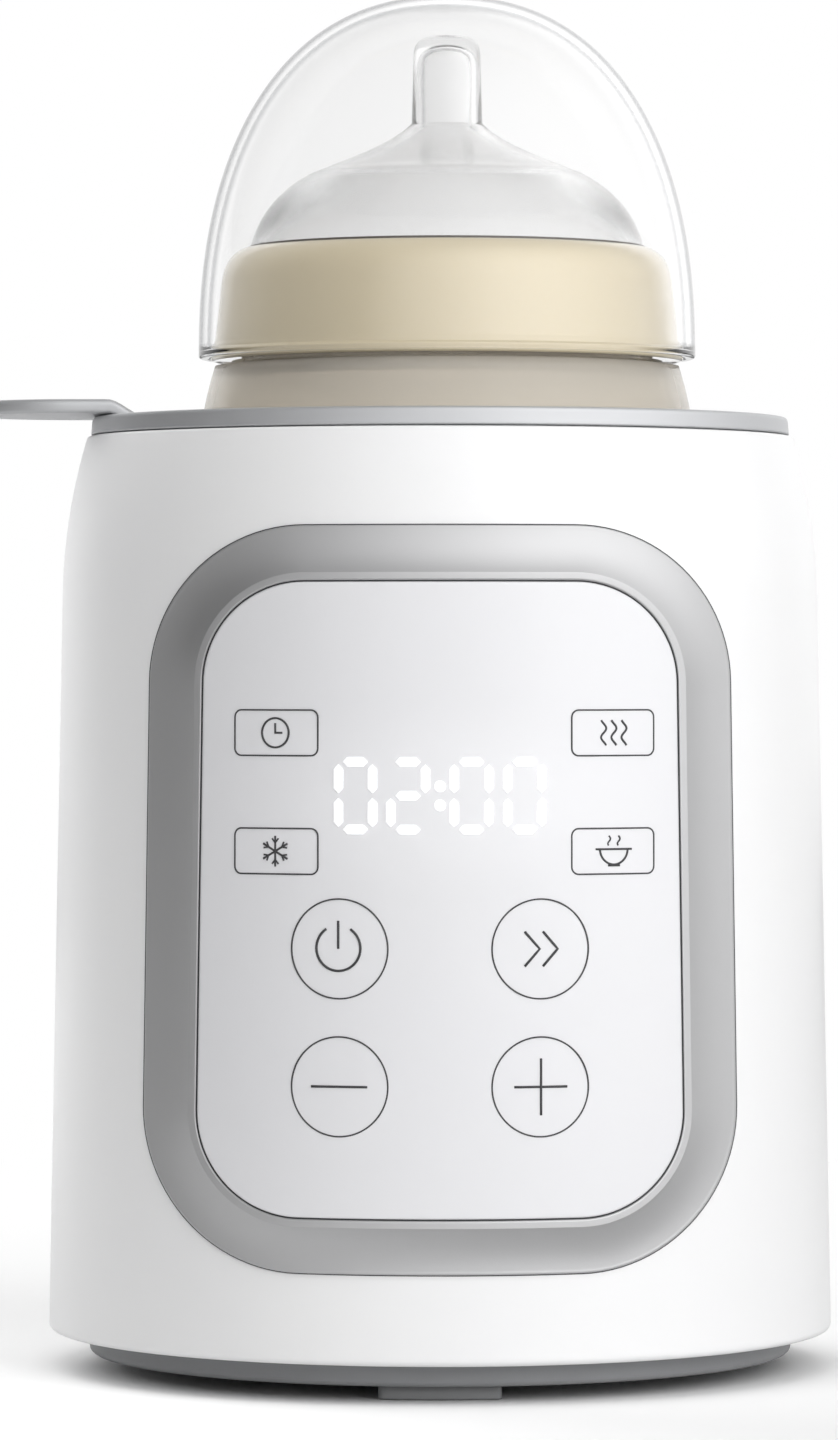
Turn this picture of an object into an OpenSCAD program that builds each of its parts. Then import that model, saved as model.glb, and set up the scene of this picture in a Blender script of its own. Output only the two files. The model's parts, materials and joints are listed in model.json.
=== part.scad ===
// Bottle warmer and steriliser with a lift-out basket and a feeding bottle standing in it.
// Millimetres. The table is z = 0, the housing's axis is Z, the control panel faces -Y
// and the basket's lifting tab points to -X.

$fn = 96;

/* [Housing] */
// Outer radius of the housing at its bottom edge
housing_r = 62; // [60:0.5:66]
// Height of the housing's bottom edge above the table
housing_lift = 6; // [5.5:0.5:8]
// Height of the straight tapered wall
wall_h = 116; // [112:1:124]
// Radius lost from the bottom to the top of the straight wall
wall_taper = 2.2; // [1.4:0.1:2.6]
// Radius of the shoulder curve above the straight wall
shoulder_r = 92; // [86:1:110]
// Height of the shoulder
shoulder_h = 25; // [22:0.5:26]
// Thickness of the housing wall
shell_t = 2.4; // [1.8:0.1:2.8]
// Thickness of the thin rim round the top of the housing
rim_t = 1.8; // [1.4:0.1:2]
// Depth of the ledge that carries the tank, below the rim
ledge_drop = 1.8; // [1.2:0.1:2.6]
// Radius of the posts that take the base screws
post_r = 3.6; // [3:0.1:4.2]
// Distance of the base screws in from the base plate's edge
base_screw_inset = 7.1; // [6.6:0.1:9.6]

/* [Base and feet] */
// How far the base plate is set in from the housing's edge
base_inset = 6.4; // [5.5:0.1:7.5]
// Thickness of the base plate's floor
base_t = 2.5; // [2:0.1:3]
// Height of the base plate above the table
foot_h = 2.3; // [1.8:0.1:3]
// Width of a foot along the rim
foot_w = 20; // [14:0.5:26]
// Depth of a foot towards the axis
foot_d = 9; // [6:0.5:12]
// Depth of the pocket that a foot is pressed into
foot_pocket = 1; // [0.6:0.1:1.4]
// Radius of the raised pad in the middle of the underside
pad_r = 30; // [20:1:34]
// Height of that pad above the table
pad_z = 1.2; // [1:0.1:1.4]
// Bore of the mains cord gland
cord_r = 3.2; // [2.6:0.1:3.6]
// Height of the gland above the table
cord_z = 19; // [17.5:0.5:24]

/* [Control panel] */
// Half the panel's width at its middle, seen from the front
panel_hw = 36.4; // [34.5:0.1:37.5]
// Height of the panel
panel_h = 95.6; // [94:0.5:98]
// Height of the panel's lower edge above the housing's bottom edge
panel_rise = 22.1; // [21:0.1:23]
// Corner radius of the panel
panel_corner = 15.5; // [12:0.5:18]
// Thickness of the panel
panel_t = 2.2; // [1.6:0.1:2.4]
// Width of the frame round the panel, seen from the front
bezel_band = 8.3; // [7:0.1:9]
// Width of the frame's narrow front lip
lip_w = 1.2; // [0.8:0.1:2]
// Height of the frame's outer edge
bezel_edge = 0.5; // [0.4:0.1:0.9]
// Distance of the touch keys from the middle line
key_x = 15.1; // [14:0.1:15.6]
// Place of the middle key row, as a share of the panel's height
key_high_share = 0.4236; // [0.4:0.005:0.44]
// Place of the bottom key row, as a share of the panel's height
key_low_share = 0.2082; // [0.19:0.005:0.22]
// Place of the display's middle, as a share of the panel's height
display_share = 0.6632; // [0.64:0.005:0.68]
// Height of the upper indicators above the display's middle
indicator_up = 9.3; // [8:0.1:10]
// Depth of the lower indicators below the display's middle
indicator_down = 8.4; // [7:0.1:9.4]

/* [Tank and heater] */
// Gap between the basket and the tank wall
basket_gap = 1.2; // [0.9:0.1:1.8]
// Thickness of the tank wall
tank_t = 2; // [1.6:0.1:2.2]
// Thickness of the flange that hangs the tank in the housing
flange_t = 2; // [1.8:0.1:2.6]
// Height of the tank's lower lip above the table
tank_z = 36; // [35:0.5:40]
// Width of the tank's floor lip under the heating plate
lip_seat_w = 8.5; // [7:0.5:10]
// Thickness of the silicone seal under the heating plate
seal_t = 0.6; // [0.5:0.1:1]
// Gap between the heating plate's rim and the tank wall
plate_gap = 6.7; // [4.7:0.5:9.7]
// Thickness of the heating plate's rim
plate_t = 2.4; // [2:0.1:3]
// Room from the heating element out to the heater screws
element_room = 13.7; // [12:0.1:16]
// Height of the heating element
element_h = 4; // [3.5:0.1:5]

/* [Basket] */
// Gap between the bottle and the basket wall
bottle_gap = 6; // [5.5:0.1:6.4]
// Thickness of the basket wall
basket_t = 1.5; // [1.2:0.1:1.7]
// Height of the water space under the basket floor
water_gap = 3; // [2.5:0.1:5]
// Thickness of the basket floor
basket_floor_t = 2; // [1.6:0.1:2.6]
// Height of the basket's rim ring
ring_h = 2.8; // [2.2:0.1:3.6]
// How far the rim ring is set in from the housing's top edge
ring_inset = 0.55; // [0.3:0.05:1]
// Number of slots in the basket wall
slot_count = 12; // [8:1:16]
// Width of a slot
slot_w = 4; // [3:0.5:6]
// Length of the lifting tab beyond the rim ring
tab_reach = 19.1; // [17:0.1:24]
// Width of the lifting tab
tab_w = 32.8; // [26:0.2:36]
// Thickness of the lifting tab
tab_t = 2.2; // [1.8:0.1:3]
// Height of the tab's underside above the rim ring
tab_lift = 0.3; // [0.2:0.1:1]

/* [Bottle] */
// Room from the bottle's side out to the housing's bottom edge
bottle_room = 23; // [22.8:0.1:23.8]
// Depth of the bottle's waist
waist_depth = 3.2; // [1.5:0.1:4]
// Height of the bottle up to its collar
bottle_h = 112.6; // [108:0.5:116]
// Thickness of the bottle wall
bottle_t = 1.8; // [1.4:0.1:2.2]
// How far to the right the bottle stands in the basket
bottle_x = 1.1; // [0:0.1:2]
// How far the neck is set in from the bottle's side
neck_inset = 6.8; // [6.4:0.1:7.4]
// Height of the neck
neck_h = 14.7; // [14:0.1:15]
// Height of the thread ridges
thread_h = 1.4; // [1.2:0.1:1.6]
// Rise of the thread in one turn
thread_pitch = 6; // [5.4:0.1:6.4]

/* [Collar, nipple and cap] */
// How far the collar is set in from the bottle's side
collar_inset = 1.5; // [1.2:0.1:1.7]
// Height of the collar
collar_h = 17.6; // [17.4:0.1:18.4]
// Thickness of the collar's top lip
collar_lip_t = 1.4; // [1.2:0.1:1.6]
// Height of the nipple's dome above the collar
dome_h = 20.1; // [18:0.1:22]
// Length of the nipple's tip
tip_h = 14; // [12:0.1:16]
// Radius of the nipple's tip at its foot
tip_r = 5.6; // [5:0.1:6.4]
// Thickness of the nipple
nipple_t = 1.9; // [1.5:0.1:2.1]
// Gap between the collar and the cap
cap_gap = 0.6; // [0.5:0.05:1]
// Thickness of the cap
cap_t = 1.3; // [1:0.1:1.6]
// Height of the cap
cap_h = 57.4; // [55.5:0.1:62]

/* [Fits] */
// Clearance of parts that slide or turn in one another
slide_fit = 0.3; // [0.2:0.05:0.4]
// Clearance of parts that are set into one another
seat_fit = 0.2; // [0.15:0.05:0.3]
// Glue line under the panel and its frame
glue_t = 0.2; // [0.15:0.05:0.3]
// Clearance of a screw in the hole that it is driven into
thread_fit = 0.05; // [0.02:0.01:0.1]
// Clearance of a screw in a hole that it passes through
pass_fit = 0.2; // [0.15:0.05:0.3]
// Radius of the case screws' shanks
screw_r = 1.4; // [1.2:0.05:1.45]
// Radius of the small screws' shanks
small_screw_r = 1; // [0.9:0.05:1.15]

/* [Power board] */
// Width of the power board
power_w = 66; // [64:1:68]
// Depth of the power board
power_d = 46; // [45:1:50]
// Thickness of both circuit boards
board_t = 1.6; // [1.2:0.1:2]
// Height of the power board above the base plate's floor
power_lift = 8; // [7:0.5:9]
// Gap between the tank and the control board
board_gap = 2.2; // [1.8:0.1:2.6]

/* [Hidden] */
taper_a = atan(wall_taper / wall_h);
wall_top_z = housing_lift + wall_h;
shell_top_z = wall_top_z + shoulder_h;
wall_top_r = housing_r - wall_taper;
shoulder_cr = wall_top_r - shoulder_r * cos(taper_a);
shoulder_cz = wall_top_z - shoulder_r * sin(taper_a);

bottle_r = housing_r - bottle_room;
neck_r = bottle_r - neck_inset;
collar_r = bottle_r - collar_inset;
basket_ir = bottle_r + bottle_gap;
basket_or = basket_ir + basket_t;
tank_ir = basket_or + basket_gap;
tank_or = tank_ir + tank_t;

ledge_z = shell_top_z - ledge_drop;
recess_r = shell_r(shell_top_z) - rim_t;
deck_r = tank_or + slide_fit;
flange_r = recess_r - seat_fit;
flange_z = ledge_z + flange_t;
tank_screw_reach = (deck_r + flange_r) / 2;

base_r = housing_r - base_inset;
base_screw_reach = base_r - base_screw_inset;
base_floor_z = foot_h + base_t;
skirt_z = housing_lift + seat_fit;
skirt_h = 2;
boss_h = 2.6;
boss_z = base_floor_z + boss_h;
foot_r = base_r - 3;

panel_z = housing_lift + panel_rise;
panel_mid_z = panel_z + panel_h / 2;
lean = wall_taper / wall_h * 0.75;
panel_back = glue_t;
panel_front = panel_back + panel_t;

board_back_y = -(tank_or + board_gap);
board_front_y = board_back_y - board_t;
wall_in_r = shell_r(panel_z + panel_h) - shell_t;
board_hw = sqrt(pow(wall_in_r, 2) - pow(board_front_y, 2)) - 2;
board_z = panel_z + 8;
board_h = panel_h - 18;
window_hw = panel_hw - 6;
key_z = [panel_z + panel_h * key_high_share, panel_z + panel_h * key_low_share];
display_z = panel_z + panel_h * display_share;
display_hw = 16.5;
display_h = 13.4;
solder_t = 0.05;
indicator_z = [display_z + indicator_up, display_z - indicator_down];
board_screw_z = [panel_z + 12.5, panel_z + panel_h - 14];
board_screw_x = board_hw - 4;

lip_in_t = 2;
plate_r = tank_ir - plate_gap;
tank_hole_r = plate_r - lip_seat_w;
plate_z = tank_z + lip_in_t + seal_t;
plate_boss_r = tank_hole_r - slide_fit;
retainer_h = 2.5;
retainer_r = plate_r - 1;
heater_screw_inset = 3.5;
heater_screw_reach = plate_boss_r - heater_screw_inset;
element_r = heater_screw_reach - element_room;
element_z = tank_z - element_h;
clip_t = 1;
clip_w = 8;
clip_bend = element_r + 1.5;
clip_hl = element_r + 9;
clip_screw_x = clip_hl - 3;
sensor_r = 2.6;
sensor_h = 6;
thermal_r = 2.3;
thermal_l = 18;
lead_r = 1;
lead_x = 6;

basket_z = plate_z + plate_t + water_gap;
basket_floor_z = basket_z + basket_floor_t;
ring_r = shell_r(shell_top_z) - ring_inset;
ring_z = flange_z;
ring_top_z = ring_z + ring_h;
tab_z = ring_top_z + tab_lift;
tab_end = ring_r + tab_reach;

bottle_z = basket_floor_z + seat_fit;
collar_z = bottle_h + seat_fit;
collar_bore = neck_r + thread_h + 0.6;
lip_z = collar_z + collar_h - collar_lip_t;
collar_top_z = collar_z + collar_h;
rim_z = bottle_h + neck_h;
teat_flange_r = neck_r + 0.9;
teat_bore = teat_flange_r + slide_fit;
collar_hole = neck_r - 0.7;
teat_r = collar_hole - slide_fit;
cap_ir = collar_r + cap_gap;
cap_r = cap_ir + cap_t;
cap_z = collar_z + 0.4;

head_r = 2.6;
head_h = 1.6;
head_room = 0.4;
small_head_r = 2;
small_head_h = 1.3;
flat_head_r = 1.55;
base_screw_l = 16;
tank_screw_l = 7;
heater_screw_l = 6.9;
clip_screw_l = 4.8;
power_screw_l = 8;
board_screw_l = 6.1;

power_z = base_floor_z + power_lift;
power_top_z = power_z + board_t;
power_y = 2;
power_screw_inset = 4;
power_screw_x = power_w / 2 - power_screw_inset;
power_screw_y = power_d / 2 - power_screw_inset;
part_h = 11;
rear_row_y = power_y + power_d * 0.174;
fuse_r = 2.6;
fuse_l = power_d * 0.43;
cable_w = 10;
cable_t = 1;
cable_start = 6;
cable_lift = 4;
cable_bend = 12;
cable_end_bend = 8;
cable_inset = 2;
buzzer_r = 6;
buzzer_h = 7;
buzzer_y = power_y - power_d * 0.3;
terminal_y = power_y - power_d * 0.217;
terminal_h = 9;

// Housing radius at a height: a straight taper, then the shoulder's arc
function shell_r(z) = z <= wall_top_z
    ? housing_r - wall_taper * (z - housing_lift) / wall_h
    : shoulder_cr + sqrt(pow(shoulder_r, 2) - pow(z - shoulder_cz, 2));

function steps(a, b, n) = [for (i = [0 : n]) a + (b - a) * i / n];

function wall_heights(z0, z1) = z1 <= wall_top_z ? [z0, z1]
    : z0 >= wall_top_z ? steps(z0, z1, 10)
    : concat([z0], steps(wall_top_z, z1, 10));

// The housing wall's outline moved out by d, from z0 up to z1
function wall_line(d, z0, z1) = [for (z = wall_heights(z0, z1)) [shell_r(z) + d, z]];

function flip(list) = [for (i = [len(list) - 1 : -1 : 0]) list[i]];

function arc(c, r, a0, a1, n) = [for (a = steps(a0, a1, n)) [c[0] + r * cos(a), c[1] + r * sin(a)]];

function bez(a, b, c, d, n) = [for (t = steps(0, 1, n))
    a * pow(1 - t, 3) + b * 3 * t * pow(1 - t, 2) + c * 3 * t * t * (1 - t) + d * pow(t, 3)];

function unit(v) = v / norm(v);

// A rounded outline seen from the front, wider towards its foot: points with outward normals
function frame_corner(hw, z0, z1, r, right, top) =
    let (cz = top ? z1 - r : z0 + r,
        cx = hw + lean * (panel_mid_z - cz) - r * sqrt(1 + lean * lean))
    [right ? cx : -cx, cz];

function frame_path(hw, z0, z1, r) =
    let (a = atan(lean),
        c = [frame_corner(hw, z0, z1, r, true, false), frame_corner(hw, z0, z1, r, true, true),
            frame_corner(hw, z0, z1, r, false, true), frame_corner(hw, z0, z1, r, false, false)],
        spans = [[-90, a], [a, 90], [90, 180 - a], [180 - a, 270]],
        mid = [4, 10, 4, 10])
    [for (k = [0 : 3])
        let (d = spans[k], n = (k + 1) % 4, e = spans[k][1],
            p = c[k] + r * [cos(e), sin(e)], q = c[n] + r * [cos(e), sin(e)])
        each concat(
            [for (t = steps(d[0], d[1], 11)) [c[k] + r * [cos(t), sin(t)], [cos(t), sin(t)]]],
            [for (i = [1 : mid[k] - 1]) [p + (q - p) * i / mid[k], [cos(e), sin(e)]]])];

// The same outline as an exact flat shape
module frame_face(hw, z0, z1, r) {
    a = atan(lean);
    lo = frame_corner(hw, z0, z1, r, true, false);
    hi = frame_corner(hw, z0, z1, r, true, true);
    side = r * [cos(a), sin(a)];
    polygon([[lo[0], z0], lo + side, hi + side, [hi[0], z1], [-hi[0], z1],
        [-hi[0] - side[0], hi[1] + side[1]], [-lo[0] - side[0], lo[1] + side[1]], [-lo[0], z0]]);
    for (c = [lo, hi], s = [-1, 1]) translate([s * c[0], c[1]]) circle(r);
}

// A band of the housing wall between two offsets
module wall_band(d0, d1, z0, z1) {
    rotate_extrude() polygon(concat(wall_line(d1, z0, z1), flip(wall_line(d0, z0, z1))));
}

// A flat shape seen from the front, drawn through the front half of the housing
module front_prism() {
    rotate([90, 0, 0]) linear_extrude(90) children();
}

// A rod along Y from y0 forward to y1
module y_rod(r, y0, y1) {
    translate([0, y0, 0]) rotate([90, 0, 0]) cylinder(r = r, h = y0 - y1);
}

// A plain tube from z0 up to z1
module tube(r0, r1, z0, z1) {
    translate([0, 0, z0]) difference() {
        cylinder(r = r1, h = z1 - z0);
        translate([0, 0, -1]) cylinder(r = r0, h = z1 - z0 + 2);
    }
}

module block(size, at) {
    translate([at[0] - size[0] / 2, at[1] - size[1] / 2, at[2]]) cube(size);
}

// A screw with its head down at z = 0 and its shank pointing up
module screw_up(r, head_r, head_h, len) {
    cylinder(r = head_r, h = head_h);
    cylinder(r = r, h = len);
}

// A closed ring of loops that meet point for point
module loop_skin(loops) {
    p = len(loops);
    q = len(loops[0]);
    polyhedron(
        points = [for (l = loops) each l],
        faces = [for (i = [0 : p - 1], j = [0 : q - 1])
            let (a = i * q + j, b = i * q + (j + 1) % q,
                c = ((i + 1) % p) * q + (j + 1) % q, d = ((i + 1) % p) * q + j)
            each [[a, b, c], [a, c, d]]]);
}

// A run of loops with flat ends
module run_skin(loops) {
    p = len(loops);
    q = len(loops[0]);
    polyhedron(
        points = [for (l = loops) each l],
        faces = concat(
            [for (i = [0 : p - 2], j = [0 : q - 1])
                let (a = i * q + j, b = i * q + (j + 1) % q,
                    c = (i + 1) * q + (j + 1) % q, d = (i + 1) * q + j)
                each [[a, b, c], [a, c, d]]],
            [[for (j = [q - 1 : -1 : 0]) j]],
            [[for (j = [0 : q - 1]) (p - 1) * q + j]]));
}

// A thread ridge: r0 is its root, r1 its crest, z its start, over a number of turns
module thread_ridge(r0, r1, z, turns) {
    n = ceil(turns * 30);
    face = [[r0, -1.2], [r1, -0.6], [r1, 0.6], [r0, 1.2]];
    run_skin([for (i = [0 : n])
        let (a = 360 * turns * i / n, h = z + thread_pitch * a / 360)
        [for (c = r1 > r0 ? face : flip(face)) [c[0] * cos(a), c[0] * sin(a), h + c[1]]]]);
}

// A round lead along a path that lies in a plane of constant x
module lead(path, r) {
    n = len(path);
    run_skin([for (i = [0 : n - 1])
        let (t = unit(path[min(i + 1, n - 1)] - path[max(i - 1, 0)]), v = cross(t, [1, 0, 0]))
        [for (a = [0 : 45 : 315]) path[i] + r * (cos(a) * [1, 0, 0] + sin(a) * v)]]);
}

module base_screw_spots() {
    for (a = [60, 120, 240, 300]) rotate([0, 0, a]) translate([base_screw_reach, 0, 0]) children();
}

module tank_screw_spots() {
    for (a = [45 : 90 : 315]) rotate([0, 0, a]) translate([tank_screw_reach, 0, 0]) children();
}

module heater_screw_spots() {
    for (a = [90 : 120 : 330]) rotate([0, 0, a]) translate([heater_screw_reach, 0, 0]) children();
}

module clip_screw_spots() {
    for (s = [-1, 1]) translate([s * clip_screw_x, 0, 0]) children();
}

module power_screw_spots() {
    for (x = [-1, 1], y = [-1, 1])
        translate([x * power_screw_x, power_y + y * power_screw_y, 0]) children();
}

module board_screw_spots() {
    for (x = [-1, 1], z = board_screw_z) translate([x * board_screw_x, 0, z]) children();
}

// Housing: tapered wall, rounded shoulder, ledge for the tank, posts for the base screws
module outer_shell() color([0.95, 0.95, 0.95]) {
    ledge_t = 2.4;
    difference() {
        union() {
            rotate_extrude() polygon(concat(
                wall_line(0, housing_lift, shell_top_z),
                [[recess_r, shell_top_z], [recess_r, ledge_z], [deck_r, ledge_z],
                    [deck_r, ledge_z - ledge_t]],
                flip(wall_line(-shell_t, housing_lift, ledge_z - ledge_t))));
            base_screw_spots() {
                translate([0, 0, boss_z + seat_fit]) cylinder(r = post_r, h = tank_z - boss_z - 6);
                translate([0, -1.2, skirt_z + skirt_h + 1])
                    cube([shell_r(tank_z) - shell_t - base_screw_reach + 0.8, 2.4, 18]);
            }
            tank_screw_spots() translate([0, 0, ledge_z - 8]) cylinder(r = 2.2, h = 7);
            translate([0, 0, cord_z]) y_rod(9, shell_r(cord_z) + 0.4, shell_r(cord_z) - 6);
        }
        translate([0, 0, ledge_z - 9]) cylinder(r = deck_r, h = 9.5);
        base_screw_spots() translate([0, 0, boss_z]) cylinder(r = screw_r + thread_fit, h = 14);
        tank_screw_spots() translate([0, 0, ledge_z - 7]) cylinder(r = small_screw_r + thread_fit, h = 8);
        translate([-window_hw, -housing_r - 1, board_z - 2])
            cube([2 * window_hw, housing_r - 20, board_h + 4]);
        translate([0, 0, cord_z]) y_rod(cord_r + 2.4, housing_r + 2, housing_r - 12);
    }
}

// Base plate: a shallow dish with a skirt inside the housing
module base_plate() color([0.45, 0.46, 0.47]) {
    skirt_r = shell_r(skirt_z + skirt_h) - shell_t - seat_fit;
    difference() {
        union() {
            rotate_extrude() polygon(concat(
                [[0, foot_h]], arc([base_r - 1, foot_h + 1], 1, -90, 0, 5),
                [[base_r, skirt_z], [skirt_r, skirt_z], [skirt_r, skirt_z + skirt_h],
                    [base_r - base_t, skirt_z + skirt_h], [base_r - base_t, base_floor_z],
                    [0, base_floor_z]]));
            translate([0, 0, pad_z]) cylinder(r = pad_r, h = base_floor_z - pad_z);
            base_screw_spots() translate([0, 0, foot_h]) cylinder(r = 4.4, h = boss_z - foot_h);
            power_screw_spots() translate([0, 0, base_floor_z - 0.5]) cylinder(r = 3, h = power_lift + 0.5);
        }
        base_screw_spots() {
            translate([0, 0, foot_h - 1]) cylinder(r = head_r + head_room, h = base_t + 1 - seat_fit);
            translate([0, 0, foot_h]) cylinder(r = screw_r + pass_fit, h = 12);
        }
        power_screw_spots() translate([0, 0, base_floor_z + 1])
            cylinder(r = small_screw_r + thread_fit, h = power_lift);
        for (a = [30, 150, 270]) foot_shape(a, foot_h - 1, 1 + foot_pocket, seat_fit);
    }
}

// An arc-shaped pad centred on the angle a
module foot_shape(a, z, h, grow) {
    half = (foot_w / 2 + grow) / foot_r * 180 / PI;
    rotate([0, 0, a - half]) translate([0, 0, z]) rotate_extrude(angle = 2 * half)
        translate([foot_r - foot_d - grow, 0]) square([foot_d + 2 * grow, h]);
}

module foot(a) color([0.4, 0.41, 0.42]) {
    foot_shape(a, 0, foot_h + foot_pocket, 0);
}

module base_screws() color([0.7, 0.7, 0.72]) {
    base_screw_spots() translate([0, 0, foot_h + seat_fit])
        screw_up(screw_r, head_r, base_t - 2 * seat_fit, base_screw_l);
}

// Gland for the mains cord, a flanged bush in the rear wall
module cord_gland() color([0.2, 0.2, 0.21]) {
    face = shell_r(cord_z) + 0.4;
    translate([0, 0, cord_z]) difference() {
        union() {
            y_rod(7.2, face + 2, face);
            y_rod(cord_r + 2.2, face + 1, face - 8);
        }
        y_rod(cord_r, face + 3, face - 9);
    }
}

// Raised frame round the panel: a coved flank that rises to a narrow lip
module front_bezel() color([0.74, 0.75, 0.76]) {
    rise = bezel_band - lip_w;
    path = frame_path(panel_hw + bezel_band, panel_z - bezel_band, panel_z + panel_h + bezel_band,
        panel_corner + bezel_band);
    profile = concat(
        [for (t = steps(0, 1, 7)) [rise * t, bezel_edge + (panel_front - bezel_edge) * pow(t, 2.1)]],
        [[bezel_band, panel_front]],
        [for (t = steps(1, 0, 6)) [bezel_band * t, glue_t]]);
    loop_skin([for (p = path) [for (s = profile)
        let (q = p[0] - s[0] * p[1], r = shell_r(q[1]) + s[1])
        [q[0], -sqrt(r * r - q[0] * q[0]), q[1]]]]);
}

// Touch panel, curved with the housing, with posts for the control board behind it
module control_panel() color([0.93, 0.93, 0.94]) {
    g = seat_fit;
    difference() {
        union() {
            intersection() {
                wall_band(panel_back, panel_front, panel_z - 2, panel_z + panel_h + 2);
                front_prism()
                    frame_face(panel_hw - g, panel_z + g, panel_z + panel_h - g, panel_corner - g);
            }
            for (x = [-1, 1], z = board_screw_z)
                translate([x * board_screw_x, 0, z])
                    y_rod(2.6, board_front_y, -sqrt(pow(shell_r(z) + panel_back + panel_t * 0.4, 2)
                        - pow(board_screw_x, 2)));
        }
        board_screw_spots() y_rod(small_screw_r + thread_fit, board_front_y + 1, board_front_y - 4.5);
    }
}

// Clear guides that carry the indicators' light out to their marks
module light_guides() color([0.85, 0.88, 0.9]) {
    start = display_hw + 0.6;
    end = window_hw - seat_fit;
    intersection() {
        wall_band(-1.8, -0.1, panel_z, panel_z + panel_h);
        union() for (z = indicator_z, s = [-1, 1])
            block([end - start, housing_r, 5.6], [s * (start + end) / 2, -housing_r / 2 - 1, z - 2.8]);
    }
}

module control_board() color([0.1, 0.35, 0.2]) {
    difference() {
        translate([-board_hw, board_front_y, board_z]) cube([2 * board_hw, board_t, board_h]);
        board_screw_spots() y_rod(small_screw_r + pass_fit, board_back_y + 1, board_front_y - 1);
    }
}

module led_display() color([0.15, 0.15, 0.16]) {
    back_y = board_front_y - solder_t;
    depth = sqrt(pow(shell_r(display_z) + panel_back, 2) - pow(display_hw, 2)) + back_y - 2 * glue_t;
    translate([-display_hw, back_y - depth, display_z - display_h / 2])
        cube([2 * display_hw, depth, display_h]);
}

// Sprung contacts between the board and the back of each touch key
module touch_springs() color([0.8, 0.65, 0.35]) {
    for (s = [-1, 1], z = key_z) translate([s * key_x, 0, z]) {
        end = -sqrt(pow(shell_r(z) + panel_back, 2) - pow(key_x + 3, 2)) + 0.2;
        difference() {
            y_rod(3, board_front_y, end);
            y_rod(2.4, board_front_y + 1, end + 0.6);
        }
    }
}

module indicator_leds() color([0.95, 0.95, 0.85]) {
    for (s = [-1, 1], z = indicator_z)
        translate([s * (board_hw - 1.5) - 1.4, board_front_y - 1.8, z - 1.4]) cube([2.8, 1.8, 2.8]);
}

module board_screws() color([0.7, 0.7, 0.72]) {
    board_screw_spots() {
        y_rod(small_head_r, board_back_y + small_head_h, board_back_y);
        y_rod(small_screw_r, board_back_y + 0.5, board_back_y + 0.5 - board_screw_l);
    }
}

// Flat cable from the control board down to the power board
module panel_cable() color([0.75, 0.75, 0.76]) {
    half = cable_t / 2;
    top = board_z + cable_start;
    back = board_back_y + half;
    run = power_top_z + cable_lift;
    front = power_y - power_d / 2 + cable_inset;
    line = concat([[back, top]],
        bez([back, run + cable_bend], [back, run + cable_bend / 3], [back + cable_bend / 6, run],
            [back + cable_bend, run], 8),
        bez([front - cable_end_bend, run], [front - cable_end_bend * 0.375, run],
            [front, run - cable_lift * 0.15], [front, run - cable_lift * 0.7], 8),
        [[front, power_top_z]]);
    n = len(line);
    side = [for (i = [0 : n - 1])
        let (t = unit(line[min(i + 1, n - 1)] - line[max(i - 1, 0)])) half * [-t[1], t[0]]];
    translate([-cable_w / 2, 0, 0]) rotate([90, 0, 90]) linear_extrude(cable_w)
        polygon(concat([for (i = [0 : n - 1]) line[i] + side[i]],
            flip([for (i = [0 : n - 1]) line[i] - side[i]])));
}

module buzzer() color([0.12, 0.12, 0.12]) {
    translate([-power_w * 0.303, buzzer_y, power_top_z]) difference() {
        cylinder(r = buzzer_r, h = buzzer_h);
        translate([0, 0, buzzer_h - 1]) cylinder(r = buzzer_r / 6, h = 2);
    }
}

// Water tank: a tube between the flange that hangs it and the floor ring under the heating plate
module water_tank() color([0.8, 0.81, 0.82]) {
    tube(tank_ir, tank_or, tank_z + lip_in_t, ledge_z);
}

module tank_flange() color([0.8, 0.81, 0.82]) {
    difference() {
        tube(tank_ir, flange_r, ledge_z, flange_z);
        tank_screw_spots() {
            translate([0, 0, ledge_z - 1]) cylinder(r = small_screw_r + pass_fit, h = 6);
            translate([0, 0, flange_z - 1]) cylinder(r = flat_head_r + 0.15, h = 3);
        }
    }
}

module tank_floor() color([0.8, 0.81, 0.82]) {
    tube(tank_hole_r, tank_or, tank_z, tank_z + lip_in_t);
}

module tank_screws() color([0.7, 0.7, 0.72]) {
    tank_screw_spots() translate([0, 0, flange_z - 0.1]) mirror([0, 0, 1])
        screw_up(small_screw_r, flat_head_r, 0.9, tank_screw_l);
}

module tank_seal() color([0.85, 0.4, 0.3]) {
    translate([0, 0, tank_z + lip_in_t]) difference() {
        cylinder(r = plate_r, h = seal_t);
        translate([0, 0, -1]) cylinder(r = tank_hole_r + 1.5, h = seal_t + 2);
    }
}

// Heating plate: its rim seals on the tank's lip and its boss comes through to the heater
module heater_plate() color([0.72, 0.73, 0.75]) {
    difference() {
        union() {
            translate([0, 0, plate_z]) cylinder(r = plate_r, h = plate_t);
            translate([0, 0, tank_z]) cylinder(r = plate_boss_r, h = plate_z - tank_z + 1);
        }
        heater_screw_spots() translate([0, 0, tank_z - 1]) cylinder(r = screw_r + thread_fit, h = 4.2);
        clip_screw_spots() translate([0, 0, tank_z - 1])
            cylinder(r = small_screw_r + thread_fit, h = 4);
    }
}

module heater_retainer() color([0.6, 0.61, 0.63]) {
    translate([0, 0, tank_z - retainer_h]) difference() {
        cylinder(r = retainer_r, h = retainer_h);
        translate([0, 0, -1]) cylinder(r = heater_screw_reach - 3.4, h = retainer_h + 2);
        translate([0, 0, -1]) heater_screw_spots() cylinder(r = screw_r + pass_fit, h = retainer_h + 2);
    }
}

module heater_screws() color([0.7, 0.7, 0.72]) {
    heater_screw_spots() translate([0, 0, tank_z - retainer_h - head_h])
        screw_up(screw_r, head_r, head_h, heater_screw_l);
}

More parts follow.
